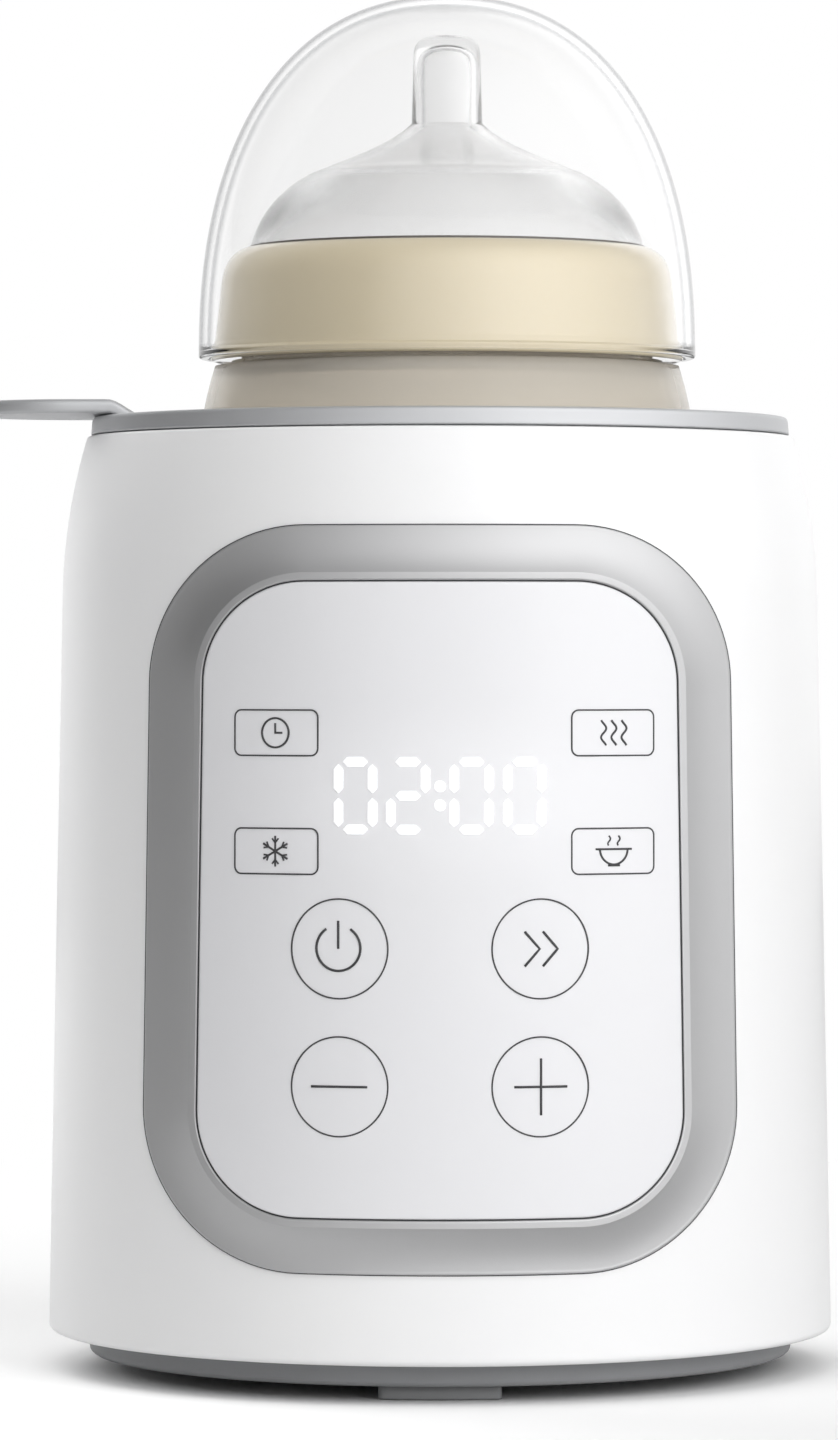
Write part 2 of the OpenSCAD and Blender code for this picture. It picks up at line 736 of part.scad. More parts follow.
module heater_element() color([0.55, 0.5, 0.45]) {
    translate([0, 0, element_z]) cylinder(r = element_r, h = element_h);
}

// Spring strip that presses the heating element against the plate
module heater_clip() color([0.66, 0.67, 0.7]) {
    low = element_z - clip_t;
    out = clip_bend + clip_t;
    half = [[0, low], [out, low], [out, tank_z - clip_t], [clip_hl, tank_z - clip_t],
        [clip_hl, tank_z], [clip_bend, tank_z], [clip_bend, element_z], [0, element_z]];
    difference() {
        translate([0, clip_w / 2, 0]) rotate([90, 0, 0]) linear_extrude(clip_w)
            polygon(concat(half, flip([for (p = half) [-p[0], p[1]]])));
        clip_screw_spots() translate([0, 0, tank_z - 3]) cylinder(r = small_screw_r + pass_fit, h = 4);
    }
}

module clip_screws() color([0.7, 0.7, 0.72]) {
    clip_screw_spots() translate([0, 0, tank_z - clip_t - small_head_h])
        screw_up(small_screw_r, small_head_r, small_head_h, clip_screw_l);
}

module thermal_fuse() color([0.85, 0.82, 0.75]) {
    translate([-thermal_l / 2, element_r + thermal_r + 1.2, tank_z - thermal_r - 0.1])
        rotate([0, 90, 0]) cylinder(r = thermal_r, h = thermal_l);
}

// Temperature sensor pressed against the heating plate
module temperature_sensor() color([0.75, 0.6, 0.3]) {
    translate([0, -element_r - sensor_r - 2, tank_z - sensor_h]) {
        cylinder(r = sensor_r, h = sensor_h);
        cylinder(r = sensor_r + 0.8, h = sensor_h / 3);
    }
}

// Two heat-proof leads from the heating element down to the terminal block
module heater_leads() color([0.8, 0.25, 0.2]) {
    for (s = [-1, 1]) {
        x = s * lead_x;
        y = -sqrt(pow(element_r, 2) - pow(lead_x - lead_r, 2));
        bow = y - 7 * lead_r;
        start_z = element_z + element_h / 2;
        low = element_z - 5 * lead_r;
        end = [x, terminal_y, power_top_z + terminal_h];
        lead(concat(
            bez([x, y, start_z], [x, y - 5, start_z], [x, bow, element_z], [x, bow, low + 1], 8),
            bez([x, bow, low], [x, bow, low - 4], end + [0, 0, 6], end + [0, 0, 2], 8),
            [end]), lead_r);
    }
}

module power_board() color([0.12, 0.3, 0.18]) {
    difference() {
        block([power_w, power_d, board_t], [0, power_y, power_z]);
        power_screw_spots() translate([0, 0, power_z - 1])
            cylinder(r = small_screw_r + pass_fit, h = board_t + 2);
    }
}

module power_board_screws() color([0.7, 0.7, 0.72]) {
    power_screw_spots() translate([0, 0, power_top_z + small_head_h]) mirror([0, 0, 1])
        screw_up(small_screw_r, small_head_r, small_head_h, power_screw_l);
}

// The power board's parts are laid out in shares of its width and depth
module power_transformer() color([0.85, 0.75, 0.3]) {
    x = -power_w * 0.182;
    block([power_w * 0.228, power_d * 0.39, part_h], [x, rear_row_y, power_top_z]);
    block([power_w * 0.288, power_d * 0.218, part_h * 0.72], [x, rear_row_y, power_top_z + part_h * 0.14]);
}

module relay() color([0.15, 0.25, 0.5]) {
    block([power_w * 0.228, power_d * 0.413, part_h], [power_w * 0.122, rear_row_y, power_top_z]);
}

module filter_capacitor() color([0.2, 0.22, 0.3]) {
    translate([power_w * 0.326, power_y + power_d * 0.283, power_top_z])
        cylinder(r = power_w * 0.068, h = part_h + 0.5);
}

module mains_fuse() color([0.8, 0.8, 0.78]) {
    mid_y = power_y - power_d * 0.13;
    translate([power_w * 0.417, 0, power_top_z]) {
        block([fuse_r * 2.3, fuse_l, 1], [0, mid_y, 0]);
        translate([0, mid_y + fuse_l / 2, fuse_r + 0.8]) rotate([90, 0, 0])
            cylinder(r = fuse_r, h = fuse_l);
    }
}

module terminal_block() color([0.2, 0.45, 0.3]) {
    block([power_w * 0.272, power_d * 0.196, terminal_h], [0, terminal_y, power_top_z]);
}

// Rim ring of the lift-out basket, with the lifting tab
module basket_rim() color([0.76, 0.77, 0.78]) {
    edge = 0.8;
    top = tab_z + tab_t;
    inner = ring_r - 8.3;
    root = ring_r - 1.2;
    low = ring_top_z - 1;
    rotate_extrude() polygon(concat(
        [[basket_ir, ring_z], [ring_r, ring_z]],
        arc([ring_r - 1, ring_top_z - edge], edge, 20, 90, 4), [[basket_ir, ring_top_z]]));
    intersection() {
        translate([0, tab_w / 2, 0]) rotate([90, 0, 0]) linear_extrude(tab_w)
            polygon(concat([[-tab_end, tab_z], [-tab_end, top]],
                bez([-inner - 5, top], [-inner - 2.4, top], [-inner - 1, top - 1.2],
                    [-inner, ring_top_z], 6),
                [[-inner, low], [-root, low], [-root, tab_z]]));
        translate([-tab_end + tab_w / 2, 0, ring_z]) linear_extrude(20) {
            circle(tab_w / 2);
            translate([0, -tab_w / 2]) square([tab_end, tab_w]);
        }
    }
}

// Slotted wall of the basket
module basket_wall() color([0.76, 0.77, 0.78]) {
    slot_z = basket_floor_z + 14;
    slot_len = ring_z - slot_z - 22;
    difference() {
        tube(basket_ir, basket_or, basket_floor_z, ring_z);
        for (i = [0 : slot_count - 1]) rotate([0, 0, (i + 0.5) * 360 / slot_count])
            translate([basket_ir - 1, -slot_w / 2, slot_z]) cube([basket_t + 2, slot_w, slot_len]);
    }
}

// Pierced floor of the basket
module basket_floor() color([0.76, 0.77, 0.78]) {
    hole_reach = basket_ir * 0.533;
    translate([0, 0, basket_z]) difference() {
        cylinder(r = basket_or, h = basket_floor_t);
        translate([0, 0, -1]) {
            cylinder(r = 7, h = basket_floor_t + 2);
            for (a = [0 : 45 : 315]) rotate([0, 0, a]) translate([hole_reach, 0, 0])
                cylinder(r = 4.5, h = basket_floor_t + 2);
        }
    }
}

// Radius of the bottle's side from its foot up to its shoulder
function bottle_side(t) = bottle_r - waist_depth * (0.5 - 0.5 * cos(360 * pow(t, 0.85))) - 0.6 * (1 - t);

// Bottle outline moved in by d, from its foot up to the shelf under the neck
function bottle_line(d) =
    let (foot = 9, top = bottle_h - 14, n = 20)
    concat(
        [for (p = bez([bottle_side(0) - foot, 0], [bottle_side(0) - 3, 0], [bottle_side(0), 3],
            [bottle_side(0), foot], 8)) [p[0] - d, max(p[1], d)]],
        [for (i = [1 : n]) [bottle_side(i / n) - d, foot + (top - foot) * i / n]],
        [for (p = bez([bottle_r, top], [bottle_r, top + 5], [bottle_r - 0.6, top + 8],
            [bottle_r - 2.2, bottle_h - 0.6], 8)) [p[0] - d, p[1] - (p[1] - top) / (bottle_h - top) * d]]);

// Feeding bottle with a threaded neck
module bottle() color([0.86, 0.83, 0.77, 0.6]) translate([bottle_x, 0, bottle_z]) {
    neck_in = neck_r - bottle_t;
    rotate_extrude() polygon(concat(
        [[0, 0]], bottle_line(0),
        [[neck_r + 1, bottle_h], [neck_r, bottle_h + 0.5], [neck_r, rim_z], [neck_in, rim_z],
            [neck_in, bottle_h - bottle_t]],
        flip(bottle_line(bottle_t)), [[0, bottle_t]]));
    thread_ridge(neck_r - 0.4, neck_r + thread_h, bottle_h + 2.4, 1.2);
}

// Silicone nipple: a flange under the collar's lip, a broad dome and a slim tip
module nipple() color([0.9, 0.9, 0.9, 0.5]) translate([bottle_x, 0, bottle_z]) {
    foot_z = collar_top_z + 0.2;
    knee_z = collar_top_z + dome_h * 0.6;
    tip_z = collar_top_z + dome_h;
    end_z = tip_z + tip_h;
    w = nipple_t;
    r = teat_r;
    rotate_extrude() polygon(concat(
        [[r - w, rim_z], [teat_flange_r, rim_z], [teat_flange_r, lip_z - seat_fit],
            [r, lip_z - seat_fit]],
        bez([r, foot_z], [r - 1.4, foot_z + dome_h * 0.3],
            [r * 0.83, foot_z + dome_h * 0.48], [r * 0.69, knee_z], 10),
        bez([r * 0.66, knee_z + 0.35], [r * 0.5, knee_z + dome_h * 0.12],
            [tip_r + 3.4, knee_z + dome_h * 0.23], [tip_r, tip_z], 10),
        bez([tip_r - 0.3, end_z - 3], [tip_r - 0.4, end_z - 0.6], [tip_r - 1.6, end_z], [0, end_z], 8),
        [[0, end_z - w], [tip_r - 2.1, end_z - w - 1], [tip_r - w, tip_z]],
        bez([tip_r - w, tip_z - 1], [tip_r + 2.6, knee_z + dome_h * 0.14],
            [r * 0.48, knee_z + dome_h * 0.05], [r * 0.63, knee_z - w], 10),
        bez([r * 0.66, knee_z - w - 0.4], [r * 0.8 - w * 0.7, foot_z + dome_h * 0.38],
            [r - w - 1, foot_z + dome_h * 0.2], [r - w, foot_z], 10)));
}

// Screw collar that clamps the nipple on the bottle's neck
module collar() color([0.9, 0.85, 0.72]) translate([bottle_x, 0, bottle_z]) {
    edge_h = 1.3;
    neck_z = collar_z + collar_h - 5.4;
    rotate_extrude() polygon(concat(
        [[collar_bore, collar_z], [collar_r, collar_z], [collar_r, collar_z + edge_h],
            [collar_r - 0.5, collar_z + edge_h + 0.3]],
        bez([collar_r - 1.7, neck_z], [collar_r - 2, neck_z + 2.4], [collar_r - 2.8, neck_z + 4.4],
            [collar_r - 4.9, collar_top_z], 8),
        [[collar_hole, collar_top_z], [collar_hole, lip_z], [teat_bore, lip_z],
            [teat_bore, lip_z - 2.4], [collar_bore, lip_z - 3.2]]));
    thread_ridge(collar_bore + 0.4, collar_bore - thread_h, collar_z + 2.4 + thread_pitch / 2, 1);
}

// A rounded dome's outline, between an ellipse and a box, from its foot to its top
function dome_line(r, h) =
    let (e = 2 / 2.3)
    concat([for (a = steps(0, 87, 28)) [r * pow(cos(a), e), cap_z + h * pow(sin(a), e)]], [[0, cap_z + h]]);

// Clear dome cap over the nipple, clipped on the collar's foot
module dome_cap() color([0.9, 0.93, 0.95, 0.3]) translate([bottle_x, 0, bottle_z]) {
    bead = 0.35;
    rotate_extrude() polygon(concat(dome_line(cap_r, cap_h), flip(dome_line(cap_ir, cap_h - cap_t))));
    translate([0, 0, cap_z]) difference() {
        cylinder(r = cap_ir + 0.2, h = 0.9);
        translate([0, 0, -1]) cylinder(r = cap_ir - bead, h = 3);
    }
}

outer_shell();
base_plate();
foot(270);  // front_foot
foot(150);  // rear_left_foot
foot(30);  // rear_right_foot
base_screws();
cord_gland();
front_bezel();
control_panel();
light_guides();
control_board();
led_display();
touch_springs();
indicator_leds();
board_screws();
panel_cable();
buzzer();
water_tank();
tank_flange();
tank_floor();
tank_screws();
tank_seal();
heater_plate();
heater_retainer();
heater_screws();
heater_element();
heater_clip();
clip_screws();
thermal_fuse();
temperature_sensor();
heater_leads();
power_board();
power_board_screws();
power_transformer();
relay();
filter_capacitor();
mains_fuse();
terminal_block();
basket_rim();
basket_wall();
basket_floor();
bottle();
nipple();
collar();
dome_cap();
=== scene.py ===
import json
import math

import bmesh
import bpy
import numpy as np
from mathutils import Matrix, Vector


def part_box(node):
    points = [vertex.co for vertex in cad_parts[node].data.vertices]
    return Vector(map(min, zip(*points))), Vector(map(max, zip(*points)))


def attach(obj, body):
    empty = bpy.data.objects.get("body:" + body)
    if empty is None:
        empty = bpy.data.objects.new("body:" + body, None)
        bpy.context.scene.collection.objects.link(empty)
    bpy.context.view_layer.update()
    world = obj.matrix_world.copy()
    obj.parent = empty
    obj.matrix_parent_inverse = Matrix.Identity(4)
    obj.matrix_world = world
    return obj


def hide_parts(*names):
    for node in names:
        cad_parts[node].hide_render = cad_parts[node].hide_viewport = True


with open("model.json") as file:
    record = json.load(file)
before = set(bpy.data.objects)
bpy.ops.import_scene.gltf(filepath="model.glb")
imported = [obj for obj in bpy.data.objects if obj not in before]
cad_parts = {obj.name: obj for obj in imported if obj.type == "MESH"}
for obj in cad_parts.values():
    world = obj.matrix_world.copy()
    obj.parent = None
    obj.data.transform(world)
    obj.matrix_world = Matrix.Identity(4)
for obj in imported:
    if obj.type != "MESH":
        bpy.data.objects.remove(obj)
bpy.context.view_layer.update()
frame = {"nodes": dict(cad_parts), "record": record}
turn = 2 * math.pi
weldDist = 2e-7  # points closer than this, in metres, become one
print("frame loaded")

# Shapes are worked out in millimetres and put into the meshes in metres


def span(node):  # lowest and highest corner of a CAD node
    low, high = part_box(node)
    return np.array(low) * 1000, np.array(high) * 1000


# Meshes from grids


def gridQuads(rows, cols, wrapRows, wrapCols):  # corner numbers of each cell of a rows x cols grid of points
    a, b = np.meshgrid(np.arange(rows if wrapRows else rows - 1),
                       np.arange(cols if wrapCols else cols - 1), indexing="ij")
    aNext = (a + 1) % rows
    bNext = (b + 1) % cols
    corners = [a * cols + b, aNext * cols + b, aNext * cols + bNext, a * cols + bNext]
    return np.stack(corners, -1)


def loft(points, wrapRows=True, wrapCols=True):  # a grid of points as a sheet of quads
    rows, cols = points.shape[:2]
    return points.reshape(-1, 3), gridQuads(rows, cols, wrapRows, wrapCols).reshape(-1, 4)


def doubleWall(outer, inner, windows=()):
    # Two grids with the same rows round the axis and columns upward, joined at both ends; a window is a span
    # of rows and columns left out of both, with its four sides closed between them
    rows, cols = outer.shape[:2]
    cells = gridQuads(rows, cols, True, False)
    keep = np.ones(cells.shape[:2], bool)
    shift = rows * cols
    at = np.arange(shift).reshape(rows, cols)
    faces = []

    def bridge(line):  # quads from a line on the outer grid across to the same line on the inner one
        faces.append(np.stack([line[:-1], line[1:], line[1:] + shift, line[:-1] + shift], -1))

    for r0, r1, c0, c1 in windows:
        keep[np.arange(r0, r1)[:, None] % rows, np.arange(c0, c1)] = False
        ring = np.arange(r0, r1 + 1) % rows
        bridge(at[ring, c0])
        bridge(at[ring, c1])
        bridge(at[r0 % rows, c0:c1 + 1])
        bridge(at[r1 % rows, c0:c1 + 1])
    wholeRing = np.arange(rows + 1) % rows
    bridge(at[wholeRing, 0])
    bridge(at[wholeRing, cols - 1])
    faces += [cells[keep], cells[keep] + shift]
    return np.concatenate([outer.reshape(-1, 3), inner.reshape(-1, 3)]), np.concatenate(faces)


def addObject(name, data):  # puts data into the scene as an object at the origin
    made = bpy.data.objects.new(name, data)
    bpy.context.scene.collection.objects.link(made)
    return made


def addPiece(name, body, slot, sheets, stands=(), material=None):
    # Joins sheets of points and quads into one smooth mesh, merges doubled points at seams and poles, turns
    # faces outward, and puts the piece on its body in place of the CAD nodes it stands for; its material is
    # the slot's own unless another is given
    points = np.concatenate([s[0] for s in sheets]) / 1000
    starts = np.cumsum([0] + [len(s[0]) for s in sheets[:-1]])
    quads = np.concatenate([s[1] + n for s, n in zip(sheets, starts)])
    mesh = bpy.data.meshes.new(name)
    mesh.from_pydata(points.tolist(), [], quads.tolist())
    build = bmesh.new()
    build.from_mesh(mesh)
    bmesh.ops.remove_doubles(build, verts=build.verts, dist=weldDist)
    bmesh.ops.recalc_face_normals(build, faces=build.faces)
    build.to_mesh(mesh)
    build.free()
    mesh.polygons.foreach_set("use_smooth", np.ones(len(mesh.polygons), bool))
    mesh.materials.append(material or finishes[slot])
    piece = addObject(name, mesh)
    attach(piece, body)
    if stands:
        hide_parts(*stands)


# Outlines


def bez(a, b, c, d, count):  # cubic curve from a to d with handles b and c
    t = np.linspace(0, 1, count)[:, None]
    a, b, c, d = (np.array(p, float) for p in (a, b, c, d))
    return a * (1 - t) ** 3 + b * 3 * t * (1 - t) ** 2 + c * 3 * t * t * (1 - t) + d * t ** 3


def arc(centre, radius, start, end, count):  # points on a circle between two angles in degrees
    a = np.radians(np.linspace(start, end, count))
    return np.stack([centre[0] + radius * np.cos(a), centre[1] + radius * np.sin(a)], -1)


def unit(angle):  # direction at an angle in degrees
    return arc((0, 0), 1, angle, angle, 1)[0]


def softened(corners, closed=True, steps=6):
    # Outline through corners (x, y, radius): each corner becomes an arc that touches both its sides, with a
    # holding point just outside each end of the arc so that the flat sides shade flat
    data = np.array(corners, float)
    count = len(data)
    line = []
    for k, (x, y, radius) in enumerate(data):
        here = np.array([x, y])
        if radius == 0 or (not closed and k in (0, count - 1)):
            line.append(here[None])
            continue
        back = data[k - 1, :2] - here
        ahead = data[(k + 1) % count, :2] - here
        backLen = np.linalg.norm(back)
        aheadLen = np.linalg.norm(ahead)
        back = back / backLen
        ahead = ahead / aheadLen
        half = math.acos(np.clip(back @ ahead, -1, 1)) / 2
        reach = radius / math.tan(half)
        middle = here + (back + ahead) / np.linalg.norm(back + ahead) * radius / math.sin(half)
        first = here + back * reach - middle
        last = here + ahead * reach - middle
        t = np.linspace(0, 1, steps)[:, None]
        sweep = math.pi - 2 * half
        bow = (np.sin((1 - t) * sweep) * first + np.sin(t * sweep) * last) / math.sin(sweep)
        hold = 0.35 * radius
        line.append((here + back * min(reach + hold, 0.5 * (reach + backLen)))[None])
        line.append(middle + bow)
        line.append((here + ahead * min(reach + hold, 0.5 * (reach + aheadLen)))[None])
    return np.concatenate(line)


def ringAngles(count):  # equal steps once round
    return np.linspace(0, turn, count, endpoint=False)


def revolve(outline, centreX=0.0, angles=ringAngles(192)):  # radius and height carried round an upright axis
    a = angles[:, None]
    r = outline[:, 0]
    z = np.broadcast_to(outline[:, 1], (len(a), len(outline)))
    return np.stack([centreX + r * np.cos(a), r * np.sin(a), z], -1)


# Shared surface effects


def feed(tree, socket, value):  # links a source to a socket, or sets a plain value on it
    if isinstance(value, bpy.types.NodeSocket):
        tree.links.new(value, socket)
    else:
        socket.default_value = value


def mathNode(tree, operation, first, second):  # one number from two
    node = tree.nodes.new("ShaderNodeMath")
    node.operation = operation
    feed(tree, node.inputs[0], first)
    feed(tree, node.inputs[1], second)
    return node.outputs[0]


def vectorValue(tree, operation, *vectors):  # one number from vectors, such as a length or a dot product
    node = tree.nodes.new("ShaderNodeVectorMath")
    node.operation = operation
    for socket, vector in zip(node.inputs, vectors):
        feed(tree, socket, vector)
    return node.outputs["Value"]


def objectPlace(tree):  # where a point of the surface is, in metres
    return tree.nodes.new("ShaderNodeTexCoord").outputs["Object"]


def ramp(tree, value, start, end, low=0.0, high=1.0, kind="LINEAR"):
    # A value from start to end becomes low to high, and is held outside that range
    node = tree.nodes.new("ShaderNodeMapRange")
    node.interpolation_type = kind
    labels = ("Value", "From Min", "From Max", "To Min", "To Max")
    for label, given in zip(labels, (value, start, end, low, high)):
        feed(tree, node.inputs[label], given)
    return node.outputs["Result"]


def noise(tree, place, scale, detail):  # cloudy values about 0.5, nearly all between 0.3 and 0.7
    node = tree.nodes.new("ShaderNodeTexNoise")
    for label, given in (("Vector", place), ("Scale", scale), ("Detail", detail)):
        feed(tree, node.inputs[label], given)
    return node.outputs["Fac"]


def blendColour(tree, share, first, second):  # first colour where the share is 0, second where it is 1
    node = tree.nodes.new("ShaderNodeMix")
    node.data_type = "RGBA"
    for label, given in (("Factor", share), ("A", first), ("B", second)):
        feed(tree, node.inputs[label], given)
    return node.outputs["Result"]


def mixShaders(tree, share, first, second):  # first shader where the share is 0, second where it is 1
    node = tree.nodes.new("ShaderNodeMixShader")
    for socket, source in zip(node.inputs, (share, first, second)):
        tree.links.new(source, socket)
    return node.outputs[0]


def makeSkin(name, scales, pattern):
    # A group that blends two colours and two values of gloss; its pattern gives the share of the second
    # colour, the share of the higher gloss, and the height of the relief
    group = bpy.data.node_groups.new(name, "ShaderNodeTree")
    colour = "NodeSocketColor"
    number = "NodeSocketFloat"
    inputs = [("Colour", colour), ("Second Colour", colour), ("Gloss Low", number), ("Gloss High", number)]
    for label, kind in inputs + [(label, number) for label in scales]:
        group.interface.new_socket(label, in_out="INPUT", socket_type=kind)
    for label, kind in (("Colour", colour), ("Roughness", number), ("Height", number)):
        group.interface.new_socket(label, in_out="OUTPUT", socket_type=kind)
    given = group.nodes.new("NodeGroupInput").outputs
    made = group.nodes.new("NodeGroupOutput").inputs
    shade, dull, height = pattern(group, objectPlace(group), given)
    group.links.new(blendColour(group, shade, given["Colour"], given["Second Colour"]), made["Colour"])
    group.links.new(ramp(group, dull, 0.3, 0.7, given["Gloss Low"], given["Gloss High"]), made["Roughness"])
    group.links.new(height, made["Height"])
    return group


def cloudPattern(tree, place, given):  # moulded plastic and rubber: faint clouds and a fine pebble
    cloud = noise(tree, place, given["Cloud Scale"], 4)
    return cloud, cloud, noise(tree, place, given["Pebble Scale"], 2)


def streakPattern(tree, place, given):  # drawn or turned metal: fine streaks across the part, duller patches
    stretch = tree.nodes.new("ShaderNodeMapping")
    stretch.inputs["Scale"].default_value = (1, 1, 12)
    tree.links.new(place, stretch.inputs["Vector"])
    streak = noise(tree, stretch.outputs["Vector"], given["Streak Scale"], 3)
    return streak, noise(tree, place, 60, 3), streak


mouldedSkin = makeSkin("mouldedSkin", ["Cloud Scale", "Pebble Scale"], cloudPattern)
workedMetal = makeSkin("workedMetal", ["Streak Scale"], streakPattern)
reliefDepth = 0.0001  # metres, for a bump of full strength
metalBump = 0.1


def tone(red, green, blue):  # screen colour 0 to 255 as linear light
    c = np.array([red, green, blue]) / 255
    return (*np.where(c <= 0.04045, c / 12.92, ((c + 0.055) / 1.055) ** 2.4), 1.0)


def finish(name, group, colours, gloss, scales, bump, shader):
    # A Principled material: the group drives its colour, gloss and fine relief, and plain values are set on
    # the shader's own sockets
    material = bpy.data.materials.new(name)
    material.use_nodes = True
    tree = material.node_tree
    principled = tree.nodes["Principled BSDF"].inputs
    effect = tree.nodes.new("ShaderNodeGroup")
    effect.node_tree = group
    values = {"Colour": tone(*colours[0]), "Second Colour": tone(*colours[1]),
              "Gloss Low": gloss[0], "Gloss High": gloss[1], **scales}
    for label, value in values.items():
        effect.inputs[label].default_value = value
    tree.links.new(effect.outputs["Colour"], principled["Base Color"])
    tree.links.new(effect.outputs["Roughness"], principled["Roughness"])
    if bump > 0:
        relief = tree.nodes.new("ShaderNodeBump")
        relief.inputs["Strength"].default_value = bump
        relief.inputs["Distance"].default_value = reliefDepth
        tree.links.new(effect.outputs["Height"], relief.inputs["Height"])
        tree.links.new(relief.outputs["Normal"], principled["Normal"])
    for label, value in shader.items():
        principled[label].default_value = value
    return material


def moulded(name, first, second, gloss, bump=0.06, cloud=30.0, pebble=2500.0, **shader):
    # Plastic or rubber: two close screen colours, a range of gloss, and the strength of the relief
    scales = {"Cloud Scale": cloud, "Pebble Scale": pebble}
    return finish(name, mouldedSkin, (first, second), gloss, scales, bump, shader)


def metal(name, first, second, gloss, streak=400.0):  # two close screen colours along the streaks
    scales = {"Streak Scale": streak}
    return finish(name, workedMetal, (first, second), gloss, scales, metalBump, {"Metallic": 1.0})


def clearPlastic(material, tint, density):
    # Lets lamps and diffuse light through and darkens with the depth of plastic that a ray crosses
    tree = material.node_tree
    output = tree.nodes["Material Output"].inputs
    path = tree.nodes.new("ShaderNodeLightPath").outputs
    passing = mathNode(tree, "MAXIMUM", path["Is Shadow Ray"], path["Is Diffuse Ray"])
    clear = tree.nodes.new("ShaderNodeBsdfTransparent").outputs[0]
    surface = mixShaders(tree, passing, tree.nodes["Principled BSDF"].outputs[0], clear)
    tree.links.new(surface, output["Surface"])
    inside = tree.nodes.new("ShaderNodeVolumeAbsorption")
    inside.inputs["Color"].default_value = tone(*tint)
    inside.inputs["Density"].default_value = density
    tree.links.new(inside.outputs[0], output["Volume"])
    return material


def paintedEdgeShade(material, colour, start, end):  # paints grey shade on the plastic where it is seen nearly edge on, standing in for the dark outlines of its edges
    tree = material.node_tree
    base = tree.nodes["Principled BSDF"].inputs["Base Color"]
    facing = tree.nodes.new("ShaderNodeLayerWeight").outputs["Facing"]
    share = ramp(tree, facing, start, end, kind="SMOOTHSTEP")
    tree.links.new(blendColour(tree, share, base.links[0].from_socket, tone(*colour)), base)


# Finishes, one for each material slot of the record

plainFinishes = {  # two close screen colours, a range of gloss, then the relief and the scale of the clouds
    "housing_white": ((243, 243, 243), (241, 241, 242), (0.3, 0.33), 0.01),
    "base_grey": ((146, 147, 149), (140, 141, 143), (0.5, 0.6), 0.15),
    "foot_rubber": ((136, 137, 138), (128, 129, 130), (0.6, 0.7), 0.25),
    "gland_rubber": ((46, 46, 48), (38, 38, 40), (0.5, 0.62), 0.25),
    "panel_white": ((230, 230, 232), (228, 228, 231), (0.22, 0.24), 0.01),
    "guide_clear": ((225, 230, 234), (215, 222, 228), (0.15, 0.25), 0.02),
    "board_green": ((30, 98, 56), (22, 78, 44), (0.3, 0.5), 0.1, 220.0),
    "display_black": ((34, 34, 36), (26, 26, 28), (0.2, 0.3), 0.03),
    "led_white": ((242, 242, 224), (232, 232, 210), (0.2, 0.3), 0.02),
    "cable_grey": ((190, 190, 194), (176, 176, 182), (0.45, 0.55), 0.1),
    "component_black": ((34, 34, 34), (26, 26, 27), (0.45, 0.6), 0.15),
    "tank_grey": ((208, 210, 212), (200, 202, 205), (0.28, 0.38)),
    "seal_red": ((186, 84, 62), (170, 72, 52), (0.5, 0.62), 0.15),
    "element_ceramic": ((138, 126, 114), (120, 110, 100), (0.65, 0.8), 0.3),
    "fuse_white": ((226, 222, 208), (214, 208, 192), (0.3, 0.45), 0.1),
    "lead_red": ((182, 54, 44), (164, 44, 36), (0.4, 0.5), 0.1),
    "transformer_yellow": ((214, 184, 84), (198, 166, 66), (0.35, 0.5), 0.1),
    "relay_blue": ((46, 74, 140), (38, 62, 122), (0.3, 0.42), 0.08),
    "capacitor_navy": ((44, 50, 78), (36, 42, 66), (0.25, 0.38), 0.05),
    "terminal_green": ((52, 128, 82), (44, 112, 70), (0.4, 0.55), 0.12),
}
metalFinishes = {  # two close screen colours, a range of gloss, then the scale of the streaks
    "contact_brass": ((205, 172, 105), (186, 150, 84), (0.22, 0.4)),
    "screw_steel": ((186, 188, 190), (160, 162, 166), (0.25, 0.42)),
    "plate_aluminium": ((200, 202, 205), (182, 184, 188), (0.28, 0.4), 260.0),
    "retainer_steel": ((170, 172, 176), (150, 152, 157), (0.25, 0.4)),
}
finishes = {
    "bezel_grey": moulded("bezelGrey", (181, 181, 182), (179, 179, 180), (0.45, 0.47), Metallic=0.8),
    "basket_grey": moulded("basketGrey", (184, 185, 187), (182, 183, 185), (0.46, 0.48), Metallic=0.6),
    "bottle_clear": clearPlastic(
        moulded("bottleTinted", (237, 231, 220), (235, 228, 216), (0.22, 0.26), 0.0,
                **{"Transmission Weight": 0.66, "IOR": 1.3}), tint=(214, 206, 194), density=10.0),
    "nipple_silicone": clearPlastic(
        moulded("nippleSilicone", (251, 251, 251), (249, 249, 249), (0.12, 0.16), 0.0,
                **{"Transmission Weight": 0.95, "IOR": 1.34}), tint=(150, 150, 152), density=5.0),
    "collar_cream": moulded(
        "collarCream", (209, 196, 165), (207, 193, 162), (0.3, 0.33), 0.01,
        **{"Coat Weight": 1.0, "Coat Roughness": 0.03, "Coat IOR": 1.6}),
    "cap_clear": clearPlastic(
        moulded("capClear", (253, 253, 253), (251, 251, 251), (0.02, 0.04), 0.0,
                **{"Transmission Weight": 1.0, "IOR": 1.3}), tint=(150, 152, 154), density=6.0),
}
for maker, table in ((moulded, plainFinishes), (metal, metalFinishes)):
    for slot, values in table.items():
        kind, shade = slot.split("_")
        finishes[slot] = maker(kind + shade.title(), *values)
# painted shade: dark outlines at the cap's edges, set by the angle at which it is seen
paintedEdgeShade(finishes["cap_clear"], colour=(100, 102, 106), start=0.74, end=0.86)
for part in frame["record"]["subparts"]:
    slots = frame["nodes"][part["node"]].data.materials
    slots.clear()
    slots.append(finishes[part["material_slot"]])
print("finishes made:", len(finishes))

# Housing

